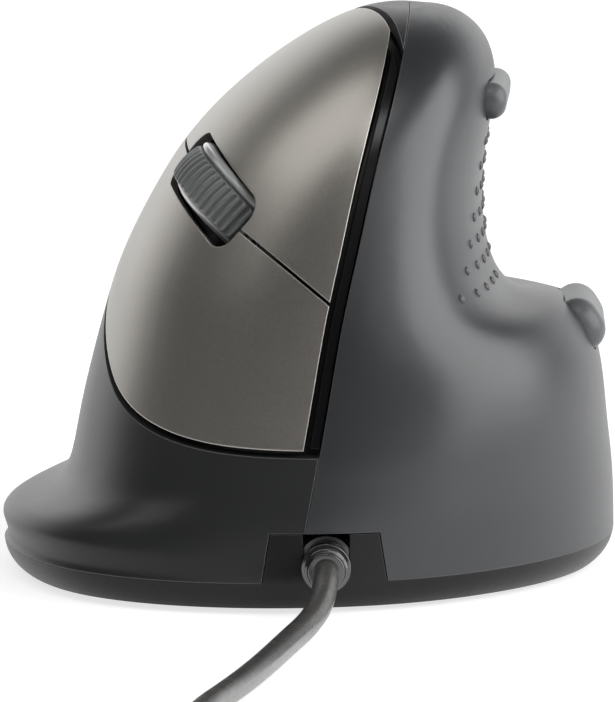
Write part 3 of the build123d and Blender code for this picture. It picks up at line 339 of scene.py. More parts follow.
@dataclass(frozen=True)
class MetalPaint(Finish):
    """A satin paint with fine metal flakes, as on the two finger keys."""

    roughness: float
    metal: float = 0.85
    coat: float = 0.15
    coat_roughness: float = 0.30
    cloud: float = 9 * MM
    flake: float = 0.16 * MM
    flake_share: float = 0.6
    flake_depth: float = 0.0025 * MM
    tone_share: float = 0.10
    edge: float = 0.25 * MM
    edge_light: float = 0.7
    # The pale colour that the edges are mixed towards: a painted highlight.
    painted_highlight_colour: Colour = (0.82, 0.81, 0.78)

    def lay(self, graph: Graph, place: Expression) -> None:
        """Lays the colour with its flakes and a painted highlight along the edges."""
        cell_sockets = {"Vector": place, "Scale": 1 / self.flake}
        cells = graph.make("ShaderNodeTexVoronoi", {"feature": "F1"}, cell_sockets, "Color")
        glint = graph.make("ShaderNodeSeparateColor", {}, {0: cells}, 0)
        cloud = graph.noise(place, self.cloud, 3.0)
        tone = glint * self.flake_share + cloud * (1 - self.flake_share)
        base = graph.mix(tone, self.shade(1 - self.tone_share), self.shade(1 + self.tone_share))
        # Sharp edges are mixed towards the pale colour: a painted highlight along the edges.
        wear_and_painted_highlight = graph.edge_mask(self.edge) * self.edge_light
        graph.surface({
            "Base Color": graph.mix(wear_and_painted_highlight, base, self.painted_highlight_colour),
            "Roughness": self.roughness * (0.90 + glint * 0.20),
            "Metallic": self.metal,
            "Coat Weight": self.coat,
            "Coat Roughness": self.coat_roughness,
            "Normal": graph.bump(glint, self.flake_depth, edge=self.edge),
        })


@dataclass(frozen=True)
class Sleeve(Finish):
    """The cable's jacket: fine cross ribs along its run and a soft gloss."""

    rib: float = 0.42 * MM
    rib_depth: float = 0.06 * MM
    rib_strength: float = 0.9
    rib_share: float = 0.55
    jitter: float = 2.4
    coat: float = 0.5
    coat_roughness: float = 0.18

    def lay(self, graph: Graph, place: Expression) -> None:
        """Lays the colour with ribs that follow the mesh's own run."""
        run = graph.make("ShaderNodeAttribute", {"attribute_name": "run"}, {}, "Fac")
        jitter = graph.noise(place, 1.2 * MM)
        ribs = (run * (2 * math.pi / self.rib) + jitter * self.jitter).wave() * 0.5 + 0.5
        streak = graph.noise(place, 3.5 * MM, 3.0)
        # The colour is lighter on the rib crests and darker in their grooves: painted highlight and shade on
        # the ribs, mixed with random streaks.
        tone = ribs * self.rib_share + streak * (1 - self.rib_share)
        graph.surface({
            "Base Color": graph.mix(tone, self.shade(0.72), self.shade(1.25)),
            "Roughness": 0.24 + streak * 0.16 - ribs * 0.05,
            "Specular IOR Level": 1.0,
            "Coat Weight": self.coat,
            "Coat Roughness": self.coat_roughness,
            "Normal": graph.bump(ribs, self.rib_depth, self.rib_strength),
        })


@dataclass(frozen=True)
class Metal(Finish):
    """A plated or bright metal with fine brushing."""

    roughness: float
    brush: float = 0.12 * MM
    brush_depth: float = 0.002 * MM
    brush_stretch: float = 0.05

    def lay(self, graph: Graph, place: Expression) -> None:
        """Lays the colour with brushing along Y."""
        sockets = {"Vector": place, "Scale": (1.0, self.brush_stretch, 1.0)}
        brush = graph.noise(graph.make("ShaderNodeMapping", {}, sockets), self.brush, 3.0)
        cloud = graph.noise(place, 4 * MM)
        graph.surface({
            "Base Color": graph.mix(cloud, self.shade(0.86), self.colour),
            "Roughness": self.roughness * (0.85 + brush * 0.3),
            "Metallic": 1.0,
            "Normal": graph.bump(brush, self.brush_depth, 0.8),
        })


@dataclass(frozen=True)
class BoardLacquer(Finish):
    """Green solder mask with faint tracks under it."""

    track: float = 1.6 * MM
    track_depth: float = 0.02 * MM
    track_gain: float = 2.2

    def lay(self, graph: Graph, place: Expression) -> None:
        """Lays the colour with its tracks."""
        settings = {"feature": "F1", "distance": "MANHATTAN"}
        cells = graph.make("ShaderNodeTexVoronoi", settings, {"Vector": place, "Scale": 1 / self.track})
        tracks = cells.ramp(0.50, 0.58)
        graph.surface({
            "Base Color": graph.mix(tracks, self.colour, self.shade(self.track_gain)),
            "Roughness": 0.34 + tracks * 0.1,
            "Coat Weight": 0.4,
            "Coat Roughness": 0.2,
            "Normal": graph.bump(tracks, self.track_depth),
        })


@dataclass(frozen=True)
class ClearPlastic(Finish):
    """The optical lens: clear with a faint tint."""

    haze: float = 2 * MM
    haze_colour: Colour = (0.95, 0.97, 1.0)
    clear: float = 0.9
    refraction: float = 1.49

    def lay(self, graph: Graph, place: Expression) -> None:
        """Lays the tint and the faint haze."""
        haze = graph.noise(place, self.haze)
        graph.surface({
            "Base Color": graph.mix(haze, self.colour, self.haze_colour),
            "Roughness": 0.06 + haze * 0.06,
            "Transmission Weight": self.clear,
            "IOR": self.refraction,
        })


def link(name: str, data: bpy.types.ID) -> bpy.types.Object:
    """Makes an object of some data and links it to the scene.

    Args:
        name: the object's name.
        data: its mesh, curve, light or camera.

    Returns:
        The object.
    """
    made = bpy.data.objects.new(name, data)
    bpy.context.scene.collection.objects.link(made)
    return made


class Shape:
    """Points and faces of a piece under construction."""

    def __init__(self) -> None:
        """Starts empty."""
        self.points: list[Vector] = []
        self.faces: list[tuple[int, ...]] = []

    def skin(self, loops: Sequence[Sequence[Vector]], joined: bool = False, caps: bool = True) -> Shape:
        """Joins a row of closed loops with faces.

        Args:
            loops: the loops in order, each with the same number of points.
            joined: whether the last loop also meets the first.
            caps: whether the two end loops are closed.

        Returns:
            This shape.
        """
        first = len(self.points)
        count = len(loops[0])
        for loop in loops:
            self.points.extend(loop)
        spans = len(loops) if joined else len(loops) - 1
        for row in range(spans):
            here = first + row * count
            there = first + (row + 1) % len(loops) * count
            for step in range(count):
                after = (step + 1) % count
                self.faces.append((here + step, here + after, there + after, there + step))
        if caps and not joined:
            last = first + (len(loops) - 1) * count
            self.faces.append(tuple(first + step for step in reversed(range(count))))
            self.faces.append(tuple(last + step for step in range(count)))
        return self

    def piece(self, name: str, finish: bpy.types.Material, crease: float = 35.0) -> bpy.types.Object:
        """Makes the mesh object.

        Args:
            name: the piece's name.
            finish: its material.
            crease: edges that turn by more degrees than this stay sharp.

        Returns:
            The object, linked to the scene.
        """
        mesh = bpy.data.meshes.new(name)
        mesh.from_pydata([tuple(point) for point in self.points], [], self.faces)
        work = bmesh.new()
        work.from_mesh(mesh)
        bmesh.ops.recalc_face_normals(work, faces=work.faces)
        work.to_mesh(mesh)
        work.free()
        mesh.shade_smooth()
        mesh.set_sharp_from_angle(angle=math.radians(crease))
        mesh.materials.append(finish)
        return link(name, mesh)


def softened(corners: Profile, radius: float, steps: int = 4) -> list[tuple[float, float]]:
    """Rounds the inner corners of an open outline.

    Args:
        corners: the outline's corners.
        radius: how far from a corner its rounding starts, where its runs are long enough.
        steps: points in each rounding, less one.

    Returns:
        The rounded outline.
    """
    rounded = [tuple(corners[0])]
    for before, here, after in zip(corners, corners[1:], corners[2:]):
        corner = Vector(here)
        back = Vector(before) - corner
        ahead = Vector(after) - corner
        reach = min(radius, back.length / 2, ahead.length / 2)
        start = corner + back.normalized() * reach
        end = corner + ahead.normalized() * reach
        for step in range(steps + 1):
            share = step / steps
            point = start * (1 - share) ** 2 + corner * 2 * share * (1 - share) + end * share ** 2
            rounded.append((point.x, point.y))
    rounded.append(tuple(corners[-1]))
    return rounded


def ring(centre: Vector, across: Vector, up: Vector, radius: float, sides: int) -> list[Vector]:
    """A circle of points, from across towards up."""
    angles = [2 * math.pi * step / sides for step in range(sides)]
    return [centre + (across * math.cos(angle) + up * math.sin(angle)) * radius for angle in angles]


def turned(profile: Profile, origin: Vector, axis: Vector, sides: int) -> list[list[Vector]]:
    """Turns an outline about an axis.

    Args:
        profile: pairs of distance along the axis and radius.
        origin: where the distance is zero.
        axis: the direction of the axis.
        sides: points in each loop.

    Returns:
        One loop for each point of the outline.
    """
    along = axis.normalized()
    across = along.orthogonal().normalized()
    up = along.cross(across)
    return [ring(origin + along * distance, across, up, radius, sides) for distance, radius in profile]


def middle_and_half(low: Vector, high: Vector) -> tuple[Vector, Vector]:
    """The middle of a box, and how far the box reaches from there."""
    return (low + high) / 2, (high - low) / 2


def squarish(centre: Vector, wide: float, high: float, power: float, sides: int) -> list[Vector]:
    """A rounded rectangle loop square to Y.

    Args:
        centre: the middle of the loop.
        wide: its reach along X, from the middle.
        high: its reach along Z, from the middle.
        power: 2 for an ellipse, more for squarer corners.
        sides: points in the loop.

    Returns:
        The loop.
    """
    loop = []
    for step in range(sides):
        angle = 2 * math.pi * (step + 0.5) / sides
        x = math.copysign(abs(math.cos(angle)) ** (2 / power), math.cos(angle)) * wide
        z = math.copysign(abs(math.sin(angle)) ** (2 / power), math.sin(angle)) * high
        loop.append(centre + Vector((x, 0, z)))
    return loop


def tube(path: Sequence[Vector], radius: float, sides: int) -> list[list[Vector]]:
    """Loops round a path, without twist.

    Args:
        path: the points of the path.
        radius: the tube's radius.
        sides: points in each loop.

    Returns:
        One loop for each point of the path.
    """
    ways = [(after - before).normalized() for before, after in zip(path, path[1:])]
    ways.append(ways[-1])
    side = ways[0].orthogonal().normalized()
    loops = []
    for index, (point, way) in enumerate(zip(path, ways)):
        tangent = (way + ways[max(index - 1, 0)]).normalized()
        side = (side - tangent * side.dot(tangent)).normalized()
        loops.append(ring(point, side, tangent.cross(side), radius, sides))
    return loops


def place_piece(piece: bpy.types.Object, body: Body, slot: Slot, *nodes: str) -> bpy.types.Object:
    """Puts a new piece on its body, in place of the solids that it stands for.

    Args:
        piece: the new piece.
        body: the body that it rides on.
        slot: the material slot named for it; not used.
        nodes: the solids that it replaces.

    Returns:
        The piece.
    """
    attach(piece, body.value)
    if nodes:
        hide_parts(*nodes)
    log.info("%s rides on %s and stands for %s", piece.name, body.value, ", ".join(nodes) or "nothing")
    return piece


# The edge settings of these finishes set how much their edges are lightened as a painted highlight; the
# boot's give bright painted highlight lines on its rings.
KEY_PAINT = MetalPaint("key_satin_taupe", (0.375, 0.355, 0.324), 0.35)
FINGER_SHELL = Moulding("finger_shell_charcoal", (0.023, 0.0238, 0.0235), 0.32,
                        specular=0.32, edge_light=0.8, edge_tone=0.26)
THUMB_SHELL = Moulding("thumb_shell_satin", (0.020, 0.0218, 0.0250), 0.34,
                       specular=0.75, edge_light=0.7, edge_tone=0.20)
BASE_SHELL = Moulding("base_textured", (0.008, 0.0083, 0.0083), 0.32,
                      specular=0.3, grain=0.45 * MM, grain_depth=0.02 * MM, edge_tone=0.16)
FRAME_GLOSS = Moulding("frame_gloss_black", (0.007, 0.007, 0.0075), 0.22,
                       specular=0.35, grain_depth=0.001 * MM, edge_light=0.1)
TYRE_RUBBER = Moulding("tyre_rubber_grey", (0.125, 0.13, 0.13), 0.34,
                       specular=0.8, grain=0.2 * MM, edge_light=0.25)
HUB_PLASTIC = Moulding("hub_gloss_grey", (0.29, 0.295, 0.295), 0.20, coat=Coat.FULL, edge_light=0.3)
SIDE_BUTTON = Moulding("side_button_grey", (0.092, 0.097, 0.100), 0.34, specular=0.4, edge_light=0.3)
BEAD_RUBBER = Moulding("bead_rubber", (0.065, 0.067, 0.070), 0.32)
BOOT_RUBBER = Moulding("boot_rubber_black", (0.014, 0.0142, 0.0145), 0.18,
                       coat=Coat.FULL, specular=1.0, edge=0.20 * MM, edge_light=1.0, edge_tone=0.36)
INNER_PLASTIC = Moulding("inner_moulding", (0.05, 0.05, 0.053), 0.5)
SWITCH_PLASTIC = Moulding("switch_black", (0.016, 0.016, 0.017), 0.4)
PLUNGER_PLASTIC = Moulding("plunger_white", (0.72, 0.72, 0.69), 0.4)
CONNECTOR_PLASTIC = Moulding("connector_ivory", (0.72, 0.70, 0.60), 0.45)
CHIP_EPOXY = Moulding("chip_epoxy", (0.014, 0.014, 0.015), 0.5, grain=0.3 * MM, grain_depth=0.008 * MM)
RIBBON_FILM = Moulding("ribbon_film", (0.42, 0.43, 0.45), 0.35)
GLIDE_FILM = Moulding("glide_film", (0.07, 0.07, 0.075), 0.32)
TIE_FABRIC = Moulding("tie_fabric", (0.015, 0.015, 0.016), 0.75,
                      sheen=0.3, grain=0.35 * MM, grain_depth=0.06 * MM)
PLUG_RUBBER = Moulding("plug_moulding", (0.016, 0.016, 0.017), 0.42, grain=0.3 * MM, grain_depth=0.01 * MM)
CABLE_SLEEVE = Sleeve("cable_sleeve_grey", (0.046, 0.0440, 0.042))
SCREW_STEEL = Metal("screw_steel", (0.55, 0.55, 0.54), 0.34)
PLUG_STEEL = Metal("plug_steel", (0.72, 0.72, 0.73), 0.20)
CONTACT_GILT = Metal("contact_gilt", (0.83, 0.62, 0.27), 0.24)
BOARD_GREEN = BoardLacquer("board_green", (0.010, 0.085, 0.035))
LENS_CLEAR = ClearPlastic("lens_clear", (0.86, 0.92, 0.97))

NODE_FINISHES = {
    KEY_PAINT: ("upper_button", "lower_button"),
    FINGER_SHELL: ("finger_shell",),
    THUMB_SHELL: ("thumb_shell",),
    BASE_SHELL: ("base_shell",),
    FRAME_GLOSS: ("button_frame",),
    HUB_PLASTIC: ("wheel_hub",),
    SIDE_BUTTON: ("upper_thumb_button", "lower_thumb_button"),
    BEAD_RUBBER: ("grip_dots",),
    INNER_PLASTIC: ("wheel_carriage", "encoder_rotor"),
    SWITCH_PLASTIC: ("upper_switch", "lower_switch", "wheel_switch",
                     "upper_thumb_switch", "lower_thumb_switch", "wheel_encoder"),
    PLUNGER_PLASTIC: ("upper_switch_plunger", "lower_switch_plunger", "wheel_switch_plunger",
                      "upper_thumb_plunger", "lower_thumb_plunger"),
    BOARD_GREEN: ("button_board", "upper_thumb_board", "lower_thumb_board", "main_board"),
    CHIP_EPOXY: ("sensor_chip", "board_components", "plug_tongue"),
    CONNECTOR_PLASTIC: ("cable_connector",),
    CABLE_SLEEVE: ("cable_lead",),
    RIBBON_FILM: ("button_ribbon", "upper_thumb_lead", "lower_thumb_lead"),
    SCREW_STEEL: ("board_screws", "base_screws"),
    GLIDE_FILM: ("glide_feet",),
    LENS_CLEAR: ("sensor_lens",),
    CONTACT_GILT: ("plug_contacts",),
}


@dataclass
class Wheel:
    """The scroll wheel: a ribbed rubber tyre on a glossy hub."""

    centre: Vector
    axis: Vector
    radius: float = 13.0 * MM
    width: float = 5.4 * MM
    rim_radius: float = 10.6 * MM
    core_radius: float = 3.4 * MM
    core_half: float = 4.4 * MM
    axle_radius: float = 1.5 * MM
    axle_bevel: float = 0.2 * MM
    axle_ends: tuple[float, float] = (-7.0 * MM, 10.6 * MM)
    flank_rounding: float = 0.7 * MM
    crown: float = 0.45 * MM
    shoulder: float = 0.35 * MM
    groove: float = 0.55 * MM
    groove_power: float = 2.2
    ribs: int = 60
    steps_per_rib: int = 10
    steps_across: int = 10
    rib_share: float = 0.86
    rib_fade: float = 1.6
    hub_sides: int = 144

    def outer_radius(self, across: float, angle: float) -> float:
        """How far the tread reaches.

        Args:
            across: the place across the tread, from -1 to 1.
            angle: the angle round the wheel.

        Returns:
            The radius there.
        """
        edge = max(abs(across) - self.rib_share, 0) / (1 - self.rib_share)
        fade = 1 - min(edge * self.rib_fade, 1) ** 2
        hollow = (0.5 + 0.5 * math.cos(self.ribs * angle)) ** self.groove_power
        wear_and_painted_highlight = self.crown * across ** 2 + self.shoulder * edge ** 2
        return self.radius - wear_and_painted_highlight - self.groove * hollow * fade

    def tyre(self) -> Shape:
        """Builds the tread and its side walls.

        Returns:
            The closed ring.
        """
        across = self.axis.orthogonal().normalized()
        up = self.axis.cross(across)
        rows = range(-self.steps_across, self.steps_across + 1)
        places = [math.sin(math.pi / 2 * step / self.steps_across) for step in rows]
        half = self.axis * self.width / 2
        sections = []
        count = self.ribs * self.steps_per_rib
        for step in range(count):
            angle = 2 * math.pi * step / count
            out = across * math.cos(angle) + up * math.sin(angle)
            reaches = [(place, self.outer_radius(place, angle)) for place in places]
            reaches += [(1, self.rim_radius), (-1, self.rim_radius)]
            sections.append([self.centre + half * place + out * reach for place, reach in reaches])
        return Shape().skin(sections, joined=True)

    def hub_outline(self) -> Profile:
        """The hub's outline, with a bulging flank on the side that the camera sees.

        Returns:
            Pairs of distance along the axle and radius.
        """
        half = self.width / 2
        core = self.core_half
        flanks = [
            (-core, self.core_radius), (-3.8 * MM, self.core_radius), (-3.8 * MM, 10.0 * MM),
            (-3.1 * MM, 11.2 * MM), (-half, 11.4 * MM), (-half, self.rim_radius), (half, self.rim_radius),
            (half, 11.7 * MM), (half + 0.25 * MM, 11.7 * MM), (half + 0.35 * MM, 12.3 * MM),
            (half + 1.0 * MM, 12.2 * MM), (half + 1.45 * MM, 11.2 * MM), (half + 1.25 * MM, 8.0 * MM),
            (half + 1.0 * MM, self.core_radius), (core, self.core_radius),
        ]
        start, end = self.axle_ends
        axle, bevel = self.axle_radius, self.axle_bevel
        return [
            (start, 0.0), (start, axle - bevel), (start + bevel, axle), (-core, axle),
            *softened(flanks, self.flank_rounding),
            (core, axle), (end - bevel, axle), (end, axle - bevel), (end, 0.0),
        ]

    def build(self) -> None:
        """Builds the tyre and the hub and puts them on the wheel."""
        tyre = self.tyre().piece("tyre", TYRE_RUBBER.build(), 50)
        place_piece(tyre, Body.WHEEL, Slot.TYRE, "wheel_tyre")
        loops = turned(self.hub_outline(), self.centre, self.axis, self.hub_sides)
        hub = Shape().skin(loops, caps=False).piece("hub", HUB_PLASTIC.build(), 40)
        place_piece(hub, Body.WHEEL, Slot.HUB, "wheel_hub")


@dataclass
class StrainRelief:
    """The moulded boot where the cable leaves the front tab."""

    origin: Vector
    length: float
    flange_radius: float = 4.0 * MM
    barrel_radius: float = 3.1 * MM
    collar_radius: float = 3.45 * MM
    bore_radius: float = 1.75 * MM
    rounding: float = 0.10 * MM
    sides: int = 72

    def profile(self) -> Profile:
        """The boot's outline, from the flange over the barrel, collar and rings to the cable.

        Returns:
            Pairs of distance and radius.
        """
        corners = [
            (0.0, self.bore_radius), (0.0, self.flange_radius), (2.0 * MM, self.flange_radius),
            (2.0 * MM, self.barrel_radius), (5.0 * MM, self.barrel_radius - 0.05 * MM),
            (5.25 * MM, self.collar_radius), (6.05 * MM, self.collar_radius), (6.2 * MM, 2.75 * MM),
            (6.75 * MM, 2.72 * MM), (6.95 * MM, 3.05 * MM), (7.7 * MM, 3.0 * MM), (7.9 * MM, 2.60 * MM),
            (8.3 * MM, 2.58 * MM), (8.5 * MM, 2.75 * MM), (self.length, 2.55 * MM),
            (self.length, self.bore_radius),
        ]
        return softened(corners, self.rounding)

    def build(self) -> bpy.types.Object:
        """Builds the boot.

        Returns:
            The boot.
        """
        loops = turned(self.profile(), self.origin, Vector((0, -1, 0)), self.sides)
        boot = Shape().skin(loops).piece("strain_relief", BOOT_RUBBER.build(), 60)
        return place_piece(boot, Body.HOUSING, Slot.BOOT, "cable_boot")


@dataclass
class Cable:
    """The whole cord: from the strain relief along the desk, through the tied coil, to the plug."""

    radius: float = 1.8 * MM
    length: float = 1.57
    coil_radius: float = 30.2 * MM
    coil_pitch: float = 4.1 * MM
    coil_turns: int = 5
    coil_floor: float = 2.3 * MM
    coil_x: float = 16.0 * MM
    coil_y: float = -256.5 * MM
    coil_lead: float = 3.6 * MM
    points_per_half: int = 8
    points_in_climb: int = 6
    curve_order: int = 3
    curve_steps: int = 8
    sides: int = 16
    plug: Vector = field(default_factory=lambda: Vector((46.5 * MM, -228.9 * MM, 4.0 * MM)))

    def start(self) -> list[Vector]:
        """The given route from the strain relief to the coil."""
        route = [
            (2.6, -64.4, 6.8), (2.7, -68.4, 6.7), (1.9, -75.2, 4.0), (0.2, -82.0, 2.4), (-2.4, -93.0, 1.8),
            (-6.5, -117.0, 1.8), (-10.4, -136.0, 1.8), (-14.8, -155.0, 1.9), (-17.4, -178.0, 2.1),
            (-17.4, -202.0, 2.2), (-15.9, -224.0, 2.3), (-14.2, -241.0, 2.3), (-14.2, -252.9, 2.3),
        ]
        return [Vector(point) * MM for point in route]

    def arc(self, start: Vector, end: Vector, side: int, count: int) -> list[Vector]:
        """Control points whose curve follows a half turn.

        Args:
            start: where the half turn starts.
            end: where it ends.
            side: 1 where it bulges towards plus Y, -1 towards minus Y.
            count: how many points it has.

        Returns:
            The points.
        """
        centre = (start + end) / 2
        reach = (start - end) / 2
        step = math.pi / count
        swell = 8 / (6 + 2 * math.cos(step))
        points = []
        for index in range(count):
            angle = (index + 0.5) * step
            bulge = Vector((0, side * reach.length * math.sin(angle), 0))
            flat = (reach * math.cos(angle) + bulge) * swell
            flat.z = reach.z * math.cos(angle)
            points.append(centre + flat)
        return points

    def layer(self, here: Vector, radii: Sequence[float], side: int) -> tuple[list[Vector], Vector]:
        """Control points of one layer of the coil, a half turn for each radius.

        Args:
            here: where the layer starts.
            radii: the radius of each half turn, in order.
            side: the side that the first half turn bulges to.

        Returns:
            The points, and where the layer ends.
        """
        points: list[Vector] = []
        for radius in radii:
            there = here - Vector((2 * radius * side, 0, 0))
            points += self.arc(here, there, side, self.points_per_half)
            here, side = there, -side
        return points, here

    def coil(self) -> tuple[list[Vector], Vector]:
        """Control points of the coil, spiralling in on the desk and out again one layer up.

        Returns:
            The points, and where the coil ends.
        """
        radii = [self.coil_radius - self.coil_pitch / 2 * step for step in range(2 * self.coil_turns)]
        outset = Vector((self.coil_x - self.coil_radius, self.coil_y, self.coil_floor))
        inward, here = self.layer(outset, radii, -1)
        inner = 2 * (radii[-1] - self.coil_pitch / 2)
        there = here + Vector((inner, 0, self.coil_pitch))
        climb = self.arc(here, there, -1, self.points_in_climb)
        outward, end = self.layer(there, radii[::-1], 1)
        return inward + climb + outward, end

    def route(self) -> list[Vector]:
        """Every control point of the cord.

        Returns:
            The points, from the strain relief to the plug.
        """
        points, end = self.coil()
        lead = end + Vector((0, self.coil_lead, 0))
        rise = end + Vector((0, 2.7 * self.coil_lead, 0))
        before = self.plug - Vector((0, 1.7 * self.coil_lead, 0))
        return self.start() + points + [lead, rise, before, self.plug]

    def centreline(self) -> list[Vector]:
        """Points along the smooth curve through the route.

        Returns:
            The points, as the curve itself gives them.
        """
        curve = bpy.data.curves.new("cable_line", "CURVE")
        curve.dimensions = "3D"
        spline = curve.splines.new("NURBS")
        route = self.route()
        spline.points.add(len(route) - 1)
        for knot, point in zip(spline.points, route):
            knot.co = (*point, 1.0)
        spline.order_u = self.curve_order
        spline.use_endpoint_u = True
        spline.resolution_u = self.curve_steps
        holder = link("cable_line", curve)
        bpy.context.view_layer.update()
        mesh = bpy.data.meshes.new_from_object(holder)
        line = [vertex.co.copy() for vertex in mesh.vertices]
        bpy.data.objects.remove(holder)
        bpy.data.meshes.remove(mesh)
        return line

    def build(self, boot: bpy.types.Object, ends: Iterable[bpy.types.Object]) -> None:
        """Args:
            boot: the strain relief that it leaves; not used.
            ends: the pieces on it; not used.
        """
        line = self.centreline()
        shape = Shape().skin(tube(line, self.radius, self.sides))
        cable = shape.piece("cable_cord", CABLE_SLEEVE.build(), 60)
        travelled = 0.0
        runs: list[float] = []
        for index, point in enumerate(line):
            travelled += (point - line[index - 1]).length if index else 0.0
            runs += [travelled] * self.sides
        attribute = cable.data.attributes.new("run", "FLOAT", "POINT")
        attribute.data.foreach_set("value", runs)
        place_piece(cable, Body.HOUSING, Slot.CABLE, "cable", "cable_coil", "cable_tail")
        log.info("cable runs %.3f m", travelled)


@dataclass
class Plug:
    """The moulded plug: a grip with a drawn-in neck, and its plated shell with four windows."""

    low: Vector
    high: Vector
    shell_low: Vector
    shell_high: Vector
    neck_radius: float = 2.7 * MM
    grip_from: float = 0.50
    grip_steps: int = 12
    neck_steps: int = 3
    grip_sides: int = 40
    grooves: tuple[float, ...] = (0.58, 0.68, 0.78)
    groove_reach: float = 0.022
    groove_depth: float = 0.28 * MM
    wall: float = 0.3 * MM
    shell_sides: int = 48
    shell_power: float = 14
    window: float = 2.3 * MM
    window_back: float = 5.3 * MM
    window_spread: float = 0.45

    def groove_at(self, here: float) -> float:
        """How deep the finger grooves are at a share of the grip's length."""
        nearest = min(abs(here - place) for place in self.grooves)
        return max(0.0, 1 - nearest / self.groove_reach) * self.groove_depth

    def grip(self) -> Shape:
        """Builds the grip.

        Returns:
            The closed grip, with three shallow finger grooves across it.
        """
        middle, half = middle_and_half(self.low, self.high)
        wide, high = half.x, half.z
        neck = self.neck_radius
        stations = [
            (0.0, neck, neck, 2.0),
            (0.03, neck * 1.08, neck * 1.08, 2.0),
            (0.17, neck * 1.2, neck * 1.15, 2.1),
            (0.21, wide * 0.60, high * 0.82, 2.6),
            (0.27, wide * 0.86, high * 0.95, 3.6),
            (0.35, wide * 0.97, high * 0.995, 4.6),
            (self.grip_from, wide, high, 5.0),
            (0.93, wide, high, 5.0),
            (0.985, wide * 0.985, high * 0.97, 4.6),
            (1.0, wide * 0.95, high * 0.92, 4.4),
        ]
        loops = []
        for (share, breadth, height, power), after in zip(stations, stations[1:] + stations[-1:]):
            steps = self.grip_steps if share == self.grip_from else self.neck_steps
            for step in range(steps if after[0] > share else 1):
                part = step / steps
                here = share + (after[0] - share) * part
                across = breadth + (after[1] - breadth) * part
                up = height + (after[2] - height) * part - self.groove_at(here)
                centre = Vector((middle.x, self.low.y + 2 * here * half.y, middle.z))
                loops.append(squarish(centre, across, up, power, self.grip_sides))
        return Shape().skin(loops)

    def windows(self) -> Shape:
        """Builds the two bars that cut the windows through both wide walls.

        Returns:
            The bars.
        """
        middle, reach = middle_and_half(self.shell_low, self.shell_high)
        half = self.window / 2
        corners = [(-half, -half), (half, -half), (half, half), (-half, half)]
        bars = Shape()
        for side in (-1, 1):
            x = middle.x + side * reach.x * self.window_spread
            y = self.shell_high.y - self.window_back
            bars.skin([
                [Vector((x + dx, y + dy, middle.z + 2 * end * reach.z)) for dx, dy in corners]
                for end in (-1, 1)
            ])
        return bars

    def shell(self) -> bpy.types.Object:
        """Builds the plated shell, with windows cut through its two wide walls.

        Returns:
            The shell.
        """
        middle, half = middle_and_half(self.shell_low, self.shell_high)
        back, front = self.shell_low.y, self.shell_high.y
        outline = [
            (back, 0.0), (front - 0.15 * MM, 0.0), (front, 0.1 * MM), (front, self.wall), (back, self.wall),
        ]
        loops = []
        for y, inset in outline:
            centre = Vector((middle.x, y, middle.z))
            loops.append(squarish(centre, half.x - inset, half.z - inset, self.shell_power, self.shell_sides))
        shell = Shape().skin(loops, joined=True).piece("plug_mouth", PLUG_STEEL.build(), 40)
        tool = self.windows().piece("window_tool", PLUG_STEEL.build())
        cut = shell.modifiers.new("windows", "BOOLEAN")
        cut.object = tool
        cut.solver = "EXACT"
        bpy.context.view_layer.update()
        evaluated = shell.evaluated_get(bpy.context.evaluated_depsgraph_get())
        mesh = bpy.data.meshes.new_from_object(evaluated)
        shell.modifiers.remove(cut)
        shell.data = mesh
        bpy.data.objects.remove(tool)
        return shell

    def build(self) -> list[bpy.types.Object]:
        """Builds both pieces.

        Returns:
            The grip and the shell.
        """
        grip = self.grip().piece("plug_grip", PLUG_RUBBER.build(), 50)
        place_piece(grip, Body.HOUSING, Slot.PLUG, "plug_body")
        shell = self.shell()
        place_piece(shell, Body.HOUSING, Slot.PLUG_STEEL, "plug_shell")
        return [grip, shell]


